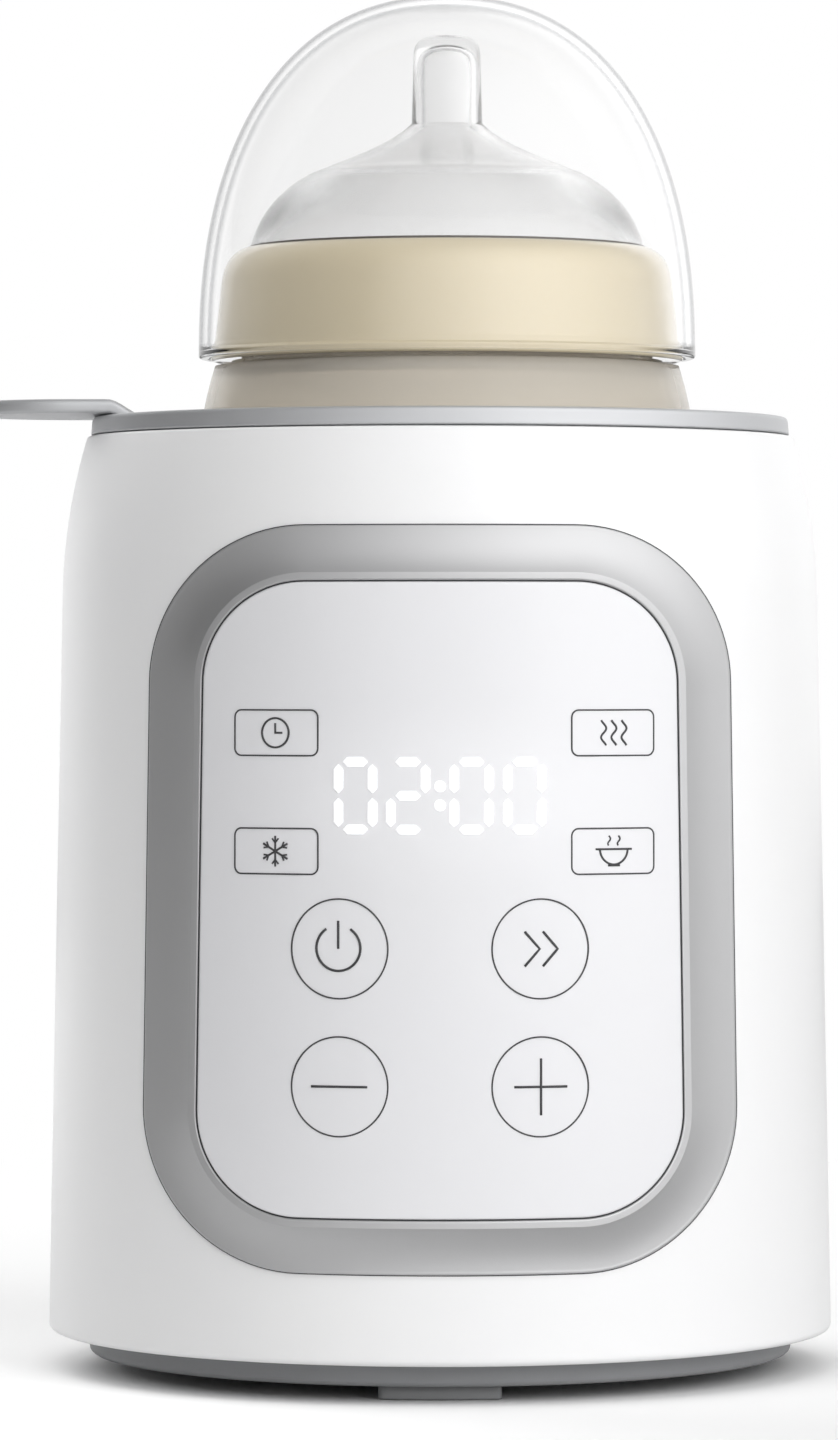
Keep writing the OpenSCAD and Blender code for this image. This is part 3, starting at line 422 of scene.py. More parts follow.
shellLow, shellHigh = span("outer_shell")
housing = {
    "bottomZ": shellLow[2], "topZ": shellHigh[2], "bottomR": shellHigh[0], "wallH": 116.0, "taper": 2.2,
    "shoulderR": 92.0, "wallT": 2.4, "rimT": 1.8, "ledgeZ": span("tank_flange")[0][2], "ledgeT": 2.4,
    "deckR": 50.0, "bottomEdge": 1.0, "footHold": 0.4, "topEdge": 0.6, "recessEdge": 0.3, "sides": 240,
    "windowHalf": 30.0, "windowLow": 34.1, "windowHigh": 115.7, "windowCells": 11, "holeR": 5.6,
    "holeHalfH": 5.8, "holeRows": 4, "holeEdge": 0.1, "bossR": 9.0, "bossEdge": 0.35,
    "bossFace": 1.6, "bossTaper": 1.0,
}
glandLow, glandHigh = span("cord_gland")
gland = {"z": (glandLow[2] + glandHigh[2]) / 2, "backY": glandHigh[1], "frontY": glandLow[1], "bore": 3.2,
         "flangeR": 7.2, "flangeT": 2.0, "bushR": 5.4}


def wallRadius(z):  # straight taper, then the shoulder's arc, centred so that the two are tangent
    h = housing
    tilt = math.atan(h["taper"] / h["wallH"])
    wallTop = h["bottomZ"] + h["wallH"]
    centreR = h["bottomR"] - h["taper"] - h["shoulderR"] * math.cos(tilt)
    centreZ = wallTop - h["shoulderR"] * math.sin(tilt)
    straight = h["bottomR"] - h["taper"] * (z - h["bottomZ"]) / h["wallH"]
    bow = centreR + np.sqrt(np.maximum(h["shoulderR"] ** 2 - (z - centreZ) ** 2, 0))
    return np.where(z <= wallTop, straight, bow)


def aroundCord(outline):  # radius and depth carried round the cord's axis, which runs to the back
    ring = revolve(outline, angles=ringAngles(96))
    return loft(np.stack([ring[..., 0], ring[..., 2], ring[..., 1] + gland["z"]], -1))


def makeBoss():  # flat round seat for the cord gland, over the hole in the wall
    h = housing
    face = gland["backY"] - gland["flangeT"]
    inside = h["bottomR"] - h["wallT"]
    return aroundCord(softened([
        (h["holeR"], face, h["holeEdge"]), (h["bossR"], face, h["bossEdge"]),
        (h["bossR"], face - h["bossFace"], 0), (h["bossR"] - h["bossTaper"], inside, 0),
        (h["holeR"], inside, 0)]))


def makeHousing():
    # One outline of foot arc, tapered wall, shoulder and rim, with the wall's thickness inside, carried round
    # the axis; a window is left open behind the panel, and a hole for the cord
    h = housing
    wallTop = h["bottomZ"] + h["wallH"]
    ledgeLow = h["ledgeZ"] - h["ledgeT"]
    edge = h["bottomEdge"]
    foot = arc((h["bottomR"] - edge, h["bottomZ"] + edge), edge, -90, 0, 8)
    low = [h["bottomZ"] + edge + h["footHold"], gland["z"] - h["holeHalfH"], gland["z"] + h["holeHalfH"]]
    beside = np.linspace(h["windowLow"], h["windowHigh"], h["windowCells"] + 1)
    heights = np.concatenate([low, beside, np.linspace(wallTop, ledgeLow, 30)])
    wallLine = np.stack([wallRadius(heights), heights], -1)
    crest = np.linspace(ledgeLow, h["topZ"] - h["topEdge"], 6)[1:]
    topR = float(wallRadius(h["topZ"]))
    recessR = topR - h["rimT"]
    rim = softened([(wallRadius(crest[-1]), crest[-1], 0), (topR, h["topZ"], h["topEdge"]),
                    (recessR, h["topZ"], h["recessEdge"]), (recessR, h["ledgeZ"], 0),
                    (h["deckR"], h["ledgeZ"], 0), (h["deckR"], ledgeLow, 0)], closed=False)
    innerEnd = np.array([[float(wallRadius(ledgeLow)) - h["wallT"], ledgeLow]])
    outer = np.concatenate([foot, wallLine, np.stack([wallRadius(crest), crest], -1), rim[1:], innerEnd])
    innerFoot = np.repeat([[h["bottomR"] - h["wallT"], h["bottomZ"]]], len(foot), 0)
    inner = np.concatenate([innerFoot, wallLine - [h["wallT"], 0]])
    inner = np.concatenate([inner, np.repeat(innerEnd, len(outer) - len(inner), 0)])
    angles = ringAngles(h["sides"])
    holeCol = len(foot) + 1
    firstCol = holeCol + 2
    half = round(h["windowHalf"] / 360 * h["sides"])
    front = round(0.75 * h["sides"])
    rear = round(0.25 * h["sides"])
    windows = [(front - half, front + half, firstCol, firstCol + h["windowCells"]),
               (rear - h["holeRows"], rear + h["holeRows"], holeCol, holeCol + 1)]
    return [doubleWall(revolve(outer, angles=angles), revolve(inner, angles=angles), windows), makeBoss()]


addPiece("housing", "housing", "housing_white", makeHousing(), ["outer_shell"])
print("housing made")

# Control panel and its frame

bezelLow, bezelHigh = span("front_bezel")
panel = {
    "halfW": 36.4, "band": 8.3, "corner": 15.5, "thick": 2.2, "glue": 0.2, "gap": 0.2, "edge": 0.35,
    "sideHold": 0.4, "lean": housing["taper"] / housing["wallH"] * 0.75, "lip": 1.2, "lipEdge": 0.3,
    "lipHold": 0.06, "outerH": 0.5, "outerEdge": 0.25, "outerDrop": 0.2, "backIn": 1.0, "backOut": 0.02,
    "flankPower": 2.8, "seamDepth": 0.3,
    "seam": [(-0.168, 0.02), (-0.168, 0.1), (0.144, 0.16), (0.144, 0.02)],
}
panel["lowZ"] = bezelLow[2] + panel["band"]
panel["highZ"] = bezelHigh[2] - panel["band"]
panel["frontH"] = panel["glue"] + panel["thick"]


def framePath(grow, arcSteps=26, sideSteps=40, topSteps=16):
    # Rounded outline seen from the front, wider towards its foot: four corner arcs and the straight runs
    # between them, as points with their outward directions
    p = panel
    lean = p["lean"]
    radius = p["corner"] + grow
    low = p["lowZ"] - grow + radius
    high = p["highZ"] + grow - radius
    middle = (p["lowZ"] + p["highZ"]) / 2
    lowX = p["halfW"] + grow + lean * (middle - low) - radius * math.sqrt(1 + lean * lean)
    highX = p["halfW"] + grow + lean * (middle - high) - radius * math.sqrt(1 + lean * lean)
    tilt = math.degrees(math.atan(lean))
    corners = [((lowX, low), -90, tilt), ((highX, high), tilt, 90), ((-highX, high), 90, 180 - tilt),
               ((-lowX, low), 180 - tilt, 270)]
    runs = [sideSteps, topSteps, sideSteps, topSteps]
    points = []
    ways = []
    for k, (centre, start, end) in enumerate(corners):
        bow = arc(centre, radius, start, end, arcSteps)
        after = np.array(corners[(k + 1) % 4][0]) + radius * unit(end)
        t = np.linspace(0, 1, runs[k] + 1)[1:-1, None]
        points += [bow, bow[-1] + (after - bow[-1]) * t]
        ways += [arc((0, 0), 1, start, end, arcSteps), np.repeat([unit(end)], runs[k] - 1, 0)]
    return np.concatenate(points), np.concatenate(ways)


def wrapped(x, z, rise):  # a point seen from the front, laid on the housing's wall at a height over it
    r = wallRadius(z) + rise
    return np.stack([x, -np.sqrt(np.maximum(r * r - x * x, 0)), z], -1)


def frameLoop(grow, outline):
    # An outline of inset and height over the wall carried round the frame's path
    points, ways = framePath(grow)
    at = points[:, None, :] - outline[None, :, :1] * ways[:, None, :]
    return loft(wrapped(at[..., 0], at[..., 1], outline[:, 1]))


def makeBezel():
    # The flank rises to the lip as a power of the way across; the section is carried round the frame's path
    p = panel
    rise = p["band"] - p["lip"]
    t = np.concatenate([np.linspace(0.03, 0.98, 30), [0.992, 1]])
    flank = np.stack([rise * t, p["outerH"] + (p["frontH"] - p["outerH"]) * t ** p["flankPower"]], -1)
    outerEdge = arc((p["outerEdge"], p["outerH"] - p["outerDrop"]), p["outerEdge"], 180, 100, 5)
    lip = softened([(rise + p["lipHold"], p["frontH"], 0), (p["band"], p["frontH"], p["lipEdge"]),
                    (p["band"], p["glue"], 0)], closed=False)
    backX = np.linspace(p["band"] - p["backIn"], p["backOut"], 5)
    back = np.stack([backX, np.full_like(backX, p["glue"])], -1)
    return [frameLoop(p["band"], np.concatenate([outerEdge, flank[1:], lip, back]))]


def makePanel():
    # Face, rounded edge and back, as rings at shares of the way from the middle to the frame's path
    p = panel
    points, ways = framePath(-p["gap"])
    edge = p["edge"]
    sides = np.concatenate([arc((edge, p["frontH"] - edge), edge, 90, 180, 7),
                            [[0, p["glue"] + p["sideHold"]], [0, p["glue"]]]])
    middle = np.array([0, (p["lowZ"] + p["highZ"]) / 2])
    share = np.array([0, 0.12, 0.25, 0.4, 0.55, 0.7, 0.82, 0.91, 0.965, 0.985, 0.995])[:, None]
    rim = points - edge * ways
    face = middle + share[None] * (rim - middle)[:, None, :]
    side = points[:, None, :] - sides[None, :, :1] * ways[:, None, :]
    back = middle + share[None, ::-1] * (points - middle)[:, None, :]
    at = np.concatenate([face, side, back], 1)
    rise = np.concatenate([np.full(len(share), p["frontH"]), sides[:, 1], np.full(len(share), p["glue"])])
    return [loft(wrapped(at[..., 0], at[..., 1], rise), True, False)]


def makeSeamShades():  # thin dark strips where the frame meets the housing and the panel meets the frame, painted shade of the narrow gaps there
    p = panel
    high = p["frontH"] - p["seamDepth"]
    inside = np.array([[0, p["glue"]], [0, high], [p["gap"], high], [p["gap"], p["glue"]]])
    return [frameLoop(p["band"], np.array(p["seam"])), frameLoop(0, inside)]


# a dark strip in each join, painted in place of the shade that falls into the narrow gap
seamShadeGrey = moulded("seamShadeGrey", (54, 54, 56), (48, 48, 50), (0.6, 0.7))
addPiece("panelFrame", "housing", "bezel_grey", makeBezel(), ["front_bezel"])
addPiece("touchPanel", "housing", "panel_white", makePanel(), ["control_panel"])
addPiece("panelSeamShades", "housing", "gland_rubber", makeSeamShades(), material=seamShadeGrey)
print("control panel made")

# Marks printed on the panel, and the lit clock

marks = {
    "line": 0.23, "symbolLine": 0.36, "iconLine": 0.3, "fineLine": 0.24, "lift": 0.05, "keyX": 15.1,
    "keyZ": (68.6, 48.0), "keyR": 7.45,
    "boxX": (-24.7, 26.1), "boxZ": (100.85, 83.1), "boxHalfW": 6.85, "boxHalfH": 3.42, "boxCorner": 1.1,
}
clock = {
    "middleZ": 91.5, "digitX": (-12.75, -4.8, 4.7, 12.75), "halfW": 2.6, "halfH": 5.05, "stroke": 1.38,
    "gap": 0.4, "barGap": 0.72, "dotR": 0.85, "dotRise": 1.42, "lift": 0.08, "reading": "0200",
    "haloHalf": (20.0, 9.0), "haloFrom": 0.6, "haloTo": 1.8, "haloLight": 0.035,
    "light": 0.6,
}


def onPanel(u, v, rise):  # u along the curved face from the middle line, v its height, both in mm
    r = wallRadius(v) + panel["frontH"]
    a = u / r
    return np.stack([(r + rise) * np.sin(a), -(r + rise) * np.cos(a), np.broadcast_to(v, np.shape(a))], -1)


def alongFace(x, z):  # distance along the curved face of a point seen from the front at x
    r = float(wallRadius(z)) + panel["frontH"]
    return r * math.asin(x / r)


def stroke(line, width, closed=False, lift=marks["lift"]):
    # A flat printed line: a rectangle carried along the line, closed to a point at both ends of an open one
    line = np.array(line, float)
    ahead = np.roll(line, -1, 0) - line if closed else np.gradient(line, axis=0)
    behind = line - np.roll(line, 1, 0) if closed else ahead
    way = ahead / np.linalg.norm(ahead, axis=1)[:, None] + behind / np.linalg.norm(behind, axis=1)[:, None]
    way = way / np.linalg.norm(way, axis=1)[:, None]
    side = np.stack([-way[:, 1], way[:, 0]], -1) * width / 2
    at = np.stack([line - side, line - side, line + side, line + side], 1)
    if not closed:
        at = np.concatenate([line[:1, None].repeat(4, 1), at, line[-1:, None].repeat(4, 1)])
    rise = np.array([-lift, lift, lift, -lift])
    return loft(onPanel(at[..., 0], at[..., 1], rise), closed, True)


def pad(outline, lift):  # a flat filled mark: its outline joined to its middle line below and above
    outline = np.array(outline, float)
    centre = outline.mean(0)
    core = centre + (outline - centre) * 0.5
    middle = np.repeat(centre[None], len(outline), 0)
    at = np.stack([middle, core, outline, outline, core, middle], 1)
    return loft(onPanel(at[..., 0], at[..., 1], np.repeat([-lift, lift], 3)), True, False)


def roundBox(halfW, halfH, radius):
    # Four corner arcs, with points along the runs between them so that they follow the face
    corners = [(halfW, -halfH), (halfW, halfH), (-halfW, halfH), (-halfW, -halfH)]
    bows = [arc((x - math.copysign(radius, x), y - math.copysign(radius, y)), radius, a, a + 90, 8)
            for (x, y), a in zip(corners, (-90, 0, 90, 180))]
    runs = [np.linspace(bows[k][-1], bows[(k + 1) % 4][0], 12)[1:-1] for k in range(4)]
    return np.concatenate([part for pair in zip(bows, runs) for part in pair])


def runTo(a, b, count=9):  # straight line from a to b
    return np.linspace(a, b, count)


def makeMarks():
    # Outlines of the keys, and in each a pictogram of plain lines
    m = marks
    bold = m["symbolLine"]
    thin = m["iconLine"]
    fine = m["fineLine"]
    sheets = []

    def put(key, line, width, closed=False):  # a line given about the middle of its key
        x, z = key
        sheets.append(stroke(np.array(line) + [alongFace(x, z), z], width, closed))

    keys = [(x, z) for x in (-m["keyX"], m["keyX"]) for z in m["keyZ"]]
    boxes = [(x, z) for x in m["boxX"] for z in m["boxZ"]]
    for key in keys:
        put(key, arc((0, 0), m["keyR"], 0, 360, 97)[:-1], m["line"], True)
    for key in boxes:
        put(key, roundBox(m["boxHalfW"], m["boxHalfH"], m["boxCorner"]), m["line"], True)
    power, less, quick, more = keys
    put(power, arc((-0.1, 0.1), 3.4, 123, 417, 41), bold)
    put(power, runTo((-0.1, 0), (-0.1, 4.2)), bold)
    for x in (-2.5, 0.3):  # double chevron
        point = (x + 2.3, 0)
        put(quick, np.concatenate([runTo((x, 2.6), point, 6), runTo(point, (x, -2.6), 6)[1:]]), bold)
    put(less, runTo((-4.35, 0), (4.35, 0)), bold)
    put(more, runTo((-4.1, 0), (4.1, 0)), bold)
    put(more, runTo((0, -4.25), (0, 4.25)), bold)
    timed, thaw, steam, bowl = boxes
    put(timed, arc((0, 0), 2.2, 0, 360, 49)[:-1], thin, True)
    put(timed, runTo((0, -0.1), (0, 1.45), 4), thin)
    put(timed, runTo((-0.1, 0), (1.15, 0), 4), thin)
    v = np.linspace(-1.9, 1.9, 25)
    for x in (-1.7, 0, 1.7):
        put(steam, np.stack([x + 0.42 * np.sin(v * 2.3), v], -1), thin)
    for a in (30, 90, 150):  # arms of a snowflake, forked at both ends
        way = unit(a)
        put(thaw, runTo(-2.3 * way, 2.3 * way), thin)
        for end in (-1, 1):
            for bend in (-38, 38):
                tip = end * 1.25 * way
                put(thaw, runTo(tip, tip + end * 0.85 * unit(a + bend), 4), fine)
    put(bowl, arc((0, 0.3), 2.3, 180, 360, 25), thin)
    put(bowl, runTo((-3.0, 0.3), (3.0, 0.3)), thin)
    put(bowl, runTo((-1.0, -2.15), (1.0, -2.15), 4), thin)
    rise = np.linspace(0.85, 2.3, 13)
    for x in (-0.8, 0.8):
        put(bowl, np.stack([x + 0.22 * np.sin(rise * 4.2), rise], -1), fine)
    return sheets


def makeClock():
    # Digits of seven bars, each a flat hexagon, and two dots in the middle
    c = clock
    t = c["stroke"] / 2
    across = c["halfW"] - c["barGap"]
    upright = c["halfH"] / 2 - c["gap"]
    bars = {"top": (0, c["halfH"], 0), "middle": (0, 0, 0), "foot": (0, -c["halfH"], 0),
            "leftHigh": (-c["halfW"], c["halfH"] / 2, 1), "leftLow": (-c["halfW"], -c["halfH"] / 2, 1),
            "rightHigh": (c["halfW"], c["halfH"] / 2, 1), "rightLow": (c["halfW"], -c["halfH"] / 2, 1)}
    lit = {"0": ("top", "foot", "leftHigh", "leftLow", "rightHigh", "rightLow"),
           "2": ("top", "rightHigh", "middle", "leftLow", "foot")}
    sheets = []
    for x, digit in zip(c["digitX"], c["reading"]):
        for name in lit[digit]:
            u, v, standing = bars[name]
            half = upright if standing else across
            flat = half - t
            hexagon = np.array([(-half, 0), (-flat, t), (flat, t), (half, 0), (flat, -t), (-flat, -t)])
            if standing:
                hexagon = hexagon[:, ::-1]
            sheets.append(pad(hexagon + [x + u, c["middleZ"] + v], c["lift"]))
    for v in (-c["dotRise"], c["dotRise"]):
        sheets.append(pad(arc((0, c["middleZ"] + v), c["dotR"], 0, 360, 25)[:-1], c["lift"]))
    return sheets


def lightThrough(material):  # the clock's light showing faintly through the panel, less with distance from it
    c = clock
    tree = material.node_tree
    principled = tree.nodes["Principled BSDF"].inputs
    local = tree.nodes.new("ShaderNodeMapping")
    local.vector_type = "TEXTURE"
    local.inputs["Location"].default_value = (0, 0, c["middleZ"] / 1000)
    local.inputs["Scale"].default_value = (c["haloHalf"][0] / 1000, 1, c["haloHalf"][1] / 1000)
    tree.links.new(objectPlace(tree), local.inputs["Vector"])
    far = vectorValue(tree, "LENGTH", local.outputs["Vector"])
    fade = ramp(tree, far, c["haloFrom"], c["haloTo"], 1.0, 0.0, "SMOOTHSTEP")
    light = (c["haloLight"], c["haloLight"], c["haloLight"], 1)
    tree.links.new(blendColour(tree, fade, (0, 0, 0, 1), light), principled["Emission Color"])
    principled["Emission Strength"].default_value = 1.0


lightThrough(finishes["panel_white"])
markGrey = moulded("markGrey", (58, 58, 60), (52, 52, 54), (0.45, 0.55), 0.0)
clockGlow = moulded("clockGlow", (252, 252, 255), (246, 248, 255), (0.3, 0.4), 0.0,
                    **{"Emission Color": (1, 1, 1, 1), "Emission Strength": clock["light"]})
addPiece("panelMarks", "housing", "component_black", makeMarks(), material=markGrey)
addPiece("clockDigits", "housing", "led_white", makeClock(), material=clockGlow)
print("marks and clock made")

# Basket

rimLow, rimHigh = span("basket_rim")
wallLow, wallHigh = span("basket_wall")
basket = {
    "ringZ": rimLow[2], "ringR": rimHigh[0], "ringH": 2.8, "ringDraft": 0.25, "ringEdge": 0.7,
    "innerEdge": 0.2, "outerEdge": 0.25, "innerR": 45.0, "outerR": wallHigh[0], "floorZ": wallLow[2],
    "tabEnd": rimLow[0], "tabTop": rimHigh[2], "tabT": 2.2, "tabW": 32.8, "tabEdge": 0.9,
    "tabUnderEdge": 0.5, "tabRoot": 0.8, "tabSink": 0.15, "rampStart": 46.0, "rampEnd": 52.0, "slots": 12,
    "slotW": 4.0, "slotRise": 14.0, "slotDrop": 22.0, "endHold": 1.0,
}


def makeRim():  # a ring of rounded section, and the tab on its left
    b = basket
    top = b["ringZ"] + b["ringH"]
    ring = softened([(b["innerR"], b["ringZ"], b["innerEdge"]), (b["ringR"], b["ringZ"], b["outerEdge"]),
                     (b["ringR"] - b["ringDraft"], top, b["ringEdge"]), (b["innerR"], top, b["ringEdge"])])
    return [loft(revolve(ring)), makeTab(top)]


def makeTab(ringTop):
    # Tongue seen from above, joined to a spine in its middle: its top runs level and then dips into the ring,
    # and its edge is rounded more above than below
    b = basket
    half = b["tabW"] / 2
    endX = b["tabEnd"] + half
    rootX = b["tabRoot"] - b["rampStart"]
    bow = arc((endX, 0), half, 90, 270, 49)
    side = np.linspace(rootX, endX, 15)[1:-1]
    root = np.linspace(-half, half, 13)[1:-1]
    outline = np.concatenate([np.stack([side, np.full_like(side, half)], -1), bow,
                              np.stack([side[::-1], np.full_like(side, -half)], -1),
                              np.stack([np.full_like(root, rootX), root], -1)])
    ways = np.concatenate([np.repeat([[0, 1]], len(side), 0), arc((0, 0), 1, 90, 270, len(bow)),
                           np.repeat([[0, -1]], len(side), 0), np.repeat([[1, 0]], len(root), 0)])
    spine = np.stack([np.clip(outline[:, 0], endX, rootX - half * 0.5), np.zeros(len(outline))], -1)
    upper = b["tabEdge"]
    under = b["tabUnderEdge"]
    edge = np.concatenate([arc((upper, -upper), upper, 90, 180, 8),
                           arc((under, under - b["tabT"]), under, 180, 270, 6)])
    share = np.array([0, 0.3, 0.6, 0.85, 0.96])[:, None]
    topFace = spine[:, None] + share[None] * (outline - upper * ways - spine)[:, None]
    sides = outline[:, None] - edge[None, :, :1] * ways[:, None]
    lowFace = spine[:, None] + share[None, ::-1] * (outline - under * ways - spine)[:, None]
    at = np.concatenate([topFace, sides, lowFace], 1)
    drop = np.concatenate([np.zeros(len(share)), edge[:, 1], np.full(len(share), -b["tabT"])])
    dip = np.clip((-at[..., 0] - b["rampStart"]) / (b["rampEnd"] - b["rampStart"]), 0, 1)
    dip = dip * dip * (3 - 2 * dip)
    rootZ = ringTop - b["tabSink"]
    topZ = rootZ + (b["tabTop"] - rootZ) * dip
    return loft(np.concatenate([at, (topZ + drop)[..., None]], -1), True, False)


def makeBasketWall():  # two upright cylinders joined at both ends, with a window through both at each slot
    b = basket
    slotHalf = math.asin(b["slotW"] / 2 / b["innerR"])
    step = turn / b["slots"]
    local = np.concatenate([np.linspace(-step / 2, -slotHalf, 5)[:-1], [-slotHalf, 0, slotHalf],
                            np.linspace(slotHalf, step / 2, 5)[1:-1]])
    angles = ((np.arange(b["slots"])[:, None] + 0.5) * step + local).ravel()
    heights = np.concatenate([[b["floorZ"], b["floorZ"] + b["endHold"]],
                              np.linspace(b["floorZ"] + b["slotRise"], b["ringZ"] - b["slotDrop"], 7),
                              [b["ringZ"] - b["endHold"], b["ringZ"]]])
    outer, inner = (revolve(np.stack([np.full_like(heights, r), heights], -1), angles=angles)
                    for r in (b["outerR"], b["innerR"]))
    windows = [(k * len(local) + 4, k * len(local) + 6, 2, 8) for k in range(b["slots"])]
    return [doubleWall(outer, inner, windows)]


addPiece("basketRim", "basket", "basket_grey", makeRim(), ["basket_rim"])
addPiece("basketWall", "basket", "basket_grey", makeBasketWall(), ["basket_wall"])
print("basket made")

# Bottle, nipple, collar and cap

bottleLow, bottleHigh = span("bottle")
collarLow, collarHigh = span("collar")
nippleLow, nippleHigh = span("nipple")
capLow, capHigh = span("dome_cap")
bottle = {
    "x": (bottleLow[0] + bottleHigh[0]) / 2, "footZ": bottleLow[2], "rimZ": bottleHigh[2], "maxR": 39.0,
    "waist": 3.2, "draft": 0.6, "bodyH": 112.6, "foot": 9.0, "shoulder": 14.0, "shoulderIn": 2.2,
    "shoulderDrop": 0.6, "wall": 1.8, "neckR": 32.2, "threadH": 1.4, "threadFoot": 1.2, "threadCrest": 0.6,
    "threadSink": 0.3, "threadFade": 0.06, "pitch": 6.0, "threadStart": 2.4, "threadTurns": 1.2,
}
collar = {
    "r": 37.5, "lowZ": collarLow[2], "topZ": collarHigh[2], "bore": 34.2, "hole": 31.5, "lipT": 1.4,
    "foot": 1.3, "lean": 1.7, "crownH": 5.4, "crownIn": 4.9, "seatR": 33.4, "threadTurns": 1.0,
}
nipple = {
    "flangeR": 33.1, "r": 31.2, "wall": 1.9, "lowZ": nippleLow[2], "dome": 20.1, "tipR": 5.6,
    "topZ": nippleHigh[2], "slack": 0.2,
    "seam": [(-0.2, -0.3), (0.25, -0.3), (0.4, 0.05), (0.3, 0.4), (-0.2, 0.44)],
}
cap = {
    "r": capHigh[0] - bottle["x"], "wall": 1.3, "lowZ": capLow[2], "topZ": capHigh[2], "power": 2.3,
    "bead": 0.35, "beadH": 0.5, "beadTop": 1.1, "innerFrom": 1.3, "outerFrom": 0.9,
}


def bottleSide(t, inset):  # side radius from foot to shoulder: a shallow waist and a little draft
    b = bottle
    return b["maxR"] - b["waist"] * (0.5 - 0.5 * np.cos(turn * t ** 0.85)) - b["draft"] * (1 - t) - inset


def bottleLine(inset):  # foot curve, waisted side and shoulder curve, moved in by the wall's thickness
    b = bottle
    r = b["maxR"]
    top = b["bodyH"] - b["shoulder"]
    base = float(bottleSide(np.array(0.0), 0))
    foot = bez((base - 9, 0), (base - 3, 0), (base, 3), (base, b["foot"]), 16)
    foot = np.stack([foot[:, 0] - inset, np.maximum(foot[:, 1], inset)], -1)
    t = np.linspace(0, 1, 49)[1:]
    side = np.stack([bottleSide(t, inset), b["foot"] + (top - b["foot"]) * t], -1)
    end = (r - b["shoulderIn"], b["bodyH"] - b["shoulderDrop"])
    shoulder = bez((r, top), (r, top + 5), (r - 0.6, top + 8), end, 16)[1:]
    lift = (shoulder[:, 1] - top) / b["shoulder"] * inset
    shoulder = shoulder - np.stack([np.full_like(lift, inset), lift], -1)
    return np.concatenate([foot, side, shoulder])


def threadRidge(rootR, crestR, startZ, turns):  # a low ridge up a helix, closed to a point at both ends
    b = bottle
    t = np.linspace(0, 1, 120)
    a = turn * turns * t
    fade = np.clip(np.minimum(t, 1 - t) / b["threadFade"], 0, 1)
    face = np.array([[rootR, -b["threadFoot"]], [crestR, -b["threadCrest"]],
                     [crestR, b["threadCrest"]], [rootR, b["threadFoot"]]])
    r = rootR + (face[None, :, 0] - rootR) * fade[:, None]
    z = startZ + b["pitch"] * a[:, None] / turn + face[None, :, 1] * fade[:, None]
    return loft(np.stack([b["x"] + r * np.cos(a)[:, None], r * np.sin(a)[:, None], z], -1), False, True)


def makeBottle():
    # The outside from foot to rim and the inside back down, carried round the axis, and the neck's thread
    b = bottle
    neckIn = b["neckR"] - b["wall"]
    rim = b["rimZ"] - b["footZ"]
    endR = b["maxR"] - b["shoulderIn"]
    endZ = b["bodyH"] - b["shoulderDrop"]
    neck = softened([(endR, endZ, 0), (b["neckR"], b["bodyH"], 0.8), (b["neckR"], rim, 0.5),
                     (neckIn, rim, 0.5), (neckIn, b["bodyH"] - b["wall"], 1.0),
                     (endR - b["wall"], endZ - b["wall"], 0)], closed=False)[1:-1]
    outline = np.concatenate([[[0, 0]], bottleLine(0), neck, bottleLine(b["wall"])[::-1], [[0, b["wall"]]]])
    outline = outline + [0, b["footZ"]]
    start = b["footZ"] + b["bodyH"] + b["threadStart"]
    return [loft(revolve(outline, b["x"]), True, False),
            threadRidge(b["neckR"] - b["threadSink"], b["neckR"] + b["threadH"], start, b["threadTurns"])]


def makeCollar():
    # Skirt with a bead at its foot, domed crown and stepped bore in one outline, and the thread inside
    b = bottle
    c = collar
    r = c["r"]
    low = c["lowZ"]
    top = c["topZ"]
    lip = top - c["lipT"]
    bend = top - c["crownH"]
    bendR = r - c["lean"]
    crest = r - c["crownIn"]
    skirt = softened([(c["bore"], low, 0.3), (r, low, 0.45), (r, low + c["foot"], 0.4),
                      (r - 0.5, low + c["foot"] + 0.3, 0.25), (bendR, bend, 0)], closed=False)[1:-1]
    crown = bez((bendR, bend), (r - 2, bend + 2.4), (r - 2.8, bend + 4.4), (crest, top), 18)
    inside = softened([(crest, top, 0), (c["hole"], top, 0.35), (c["hole"], lip, 0.2), (c["seatR"], lip, 0),
                       (c["seatR"], lip - 2.4, 0), (c["bore"], lip - 3.2, 0), (c["bore"], low, 0)],
                      closed=False)[1:-1]
    outline = np.concatenate([[[c["bore"], low]], skirt, crown, inside])
    start = low + b["threadStart"] + b["pitch"] / 2
    return [loft(revolve(outline, b["x"])),
            threadRidge(c["bore"] + b["threadSink"], c["bore"] - b["threadH"], start, c["threadTurns"])]


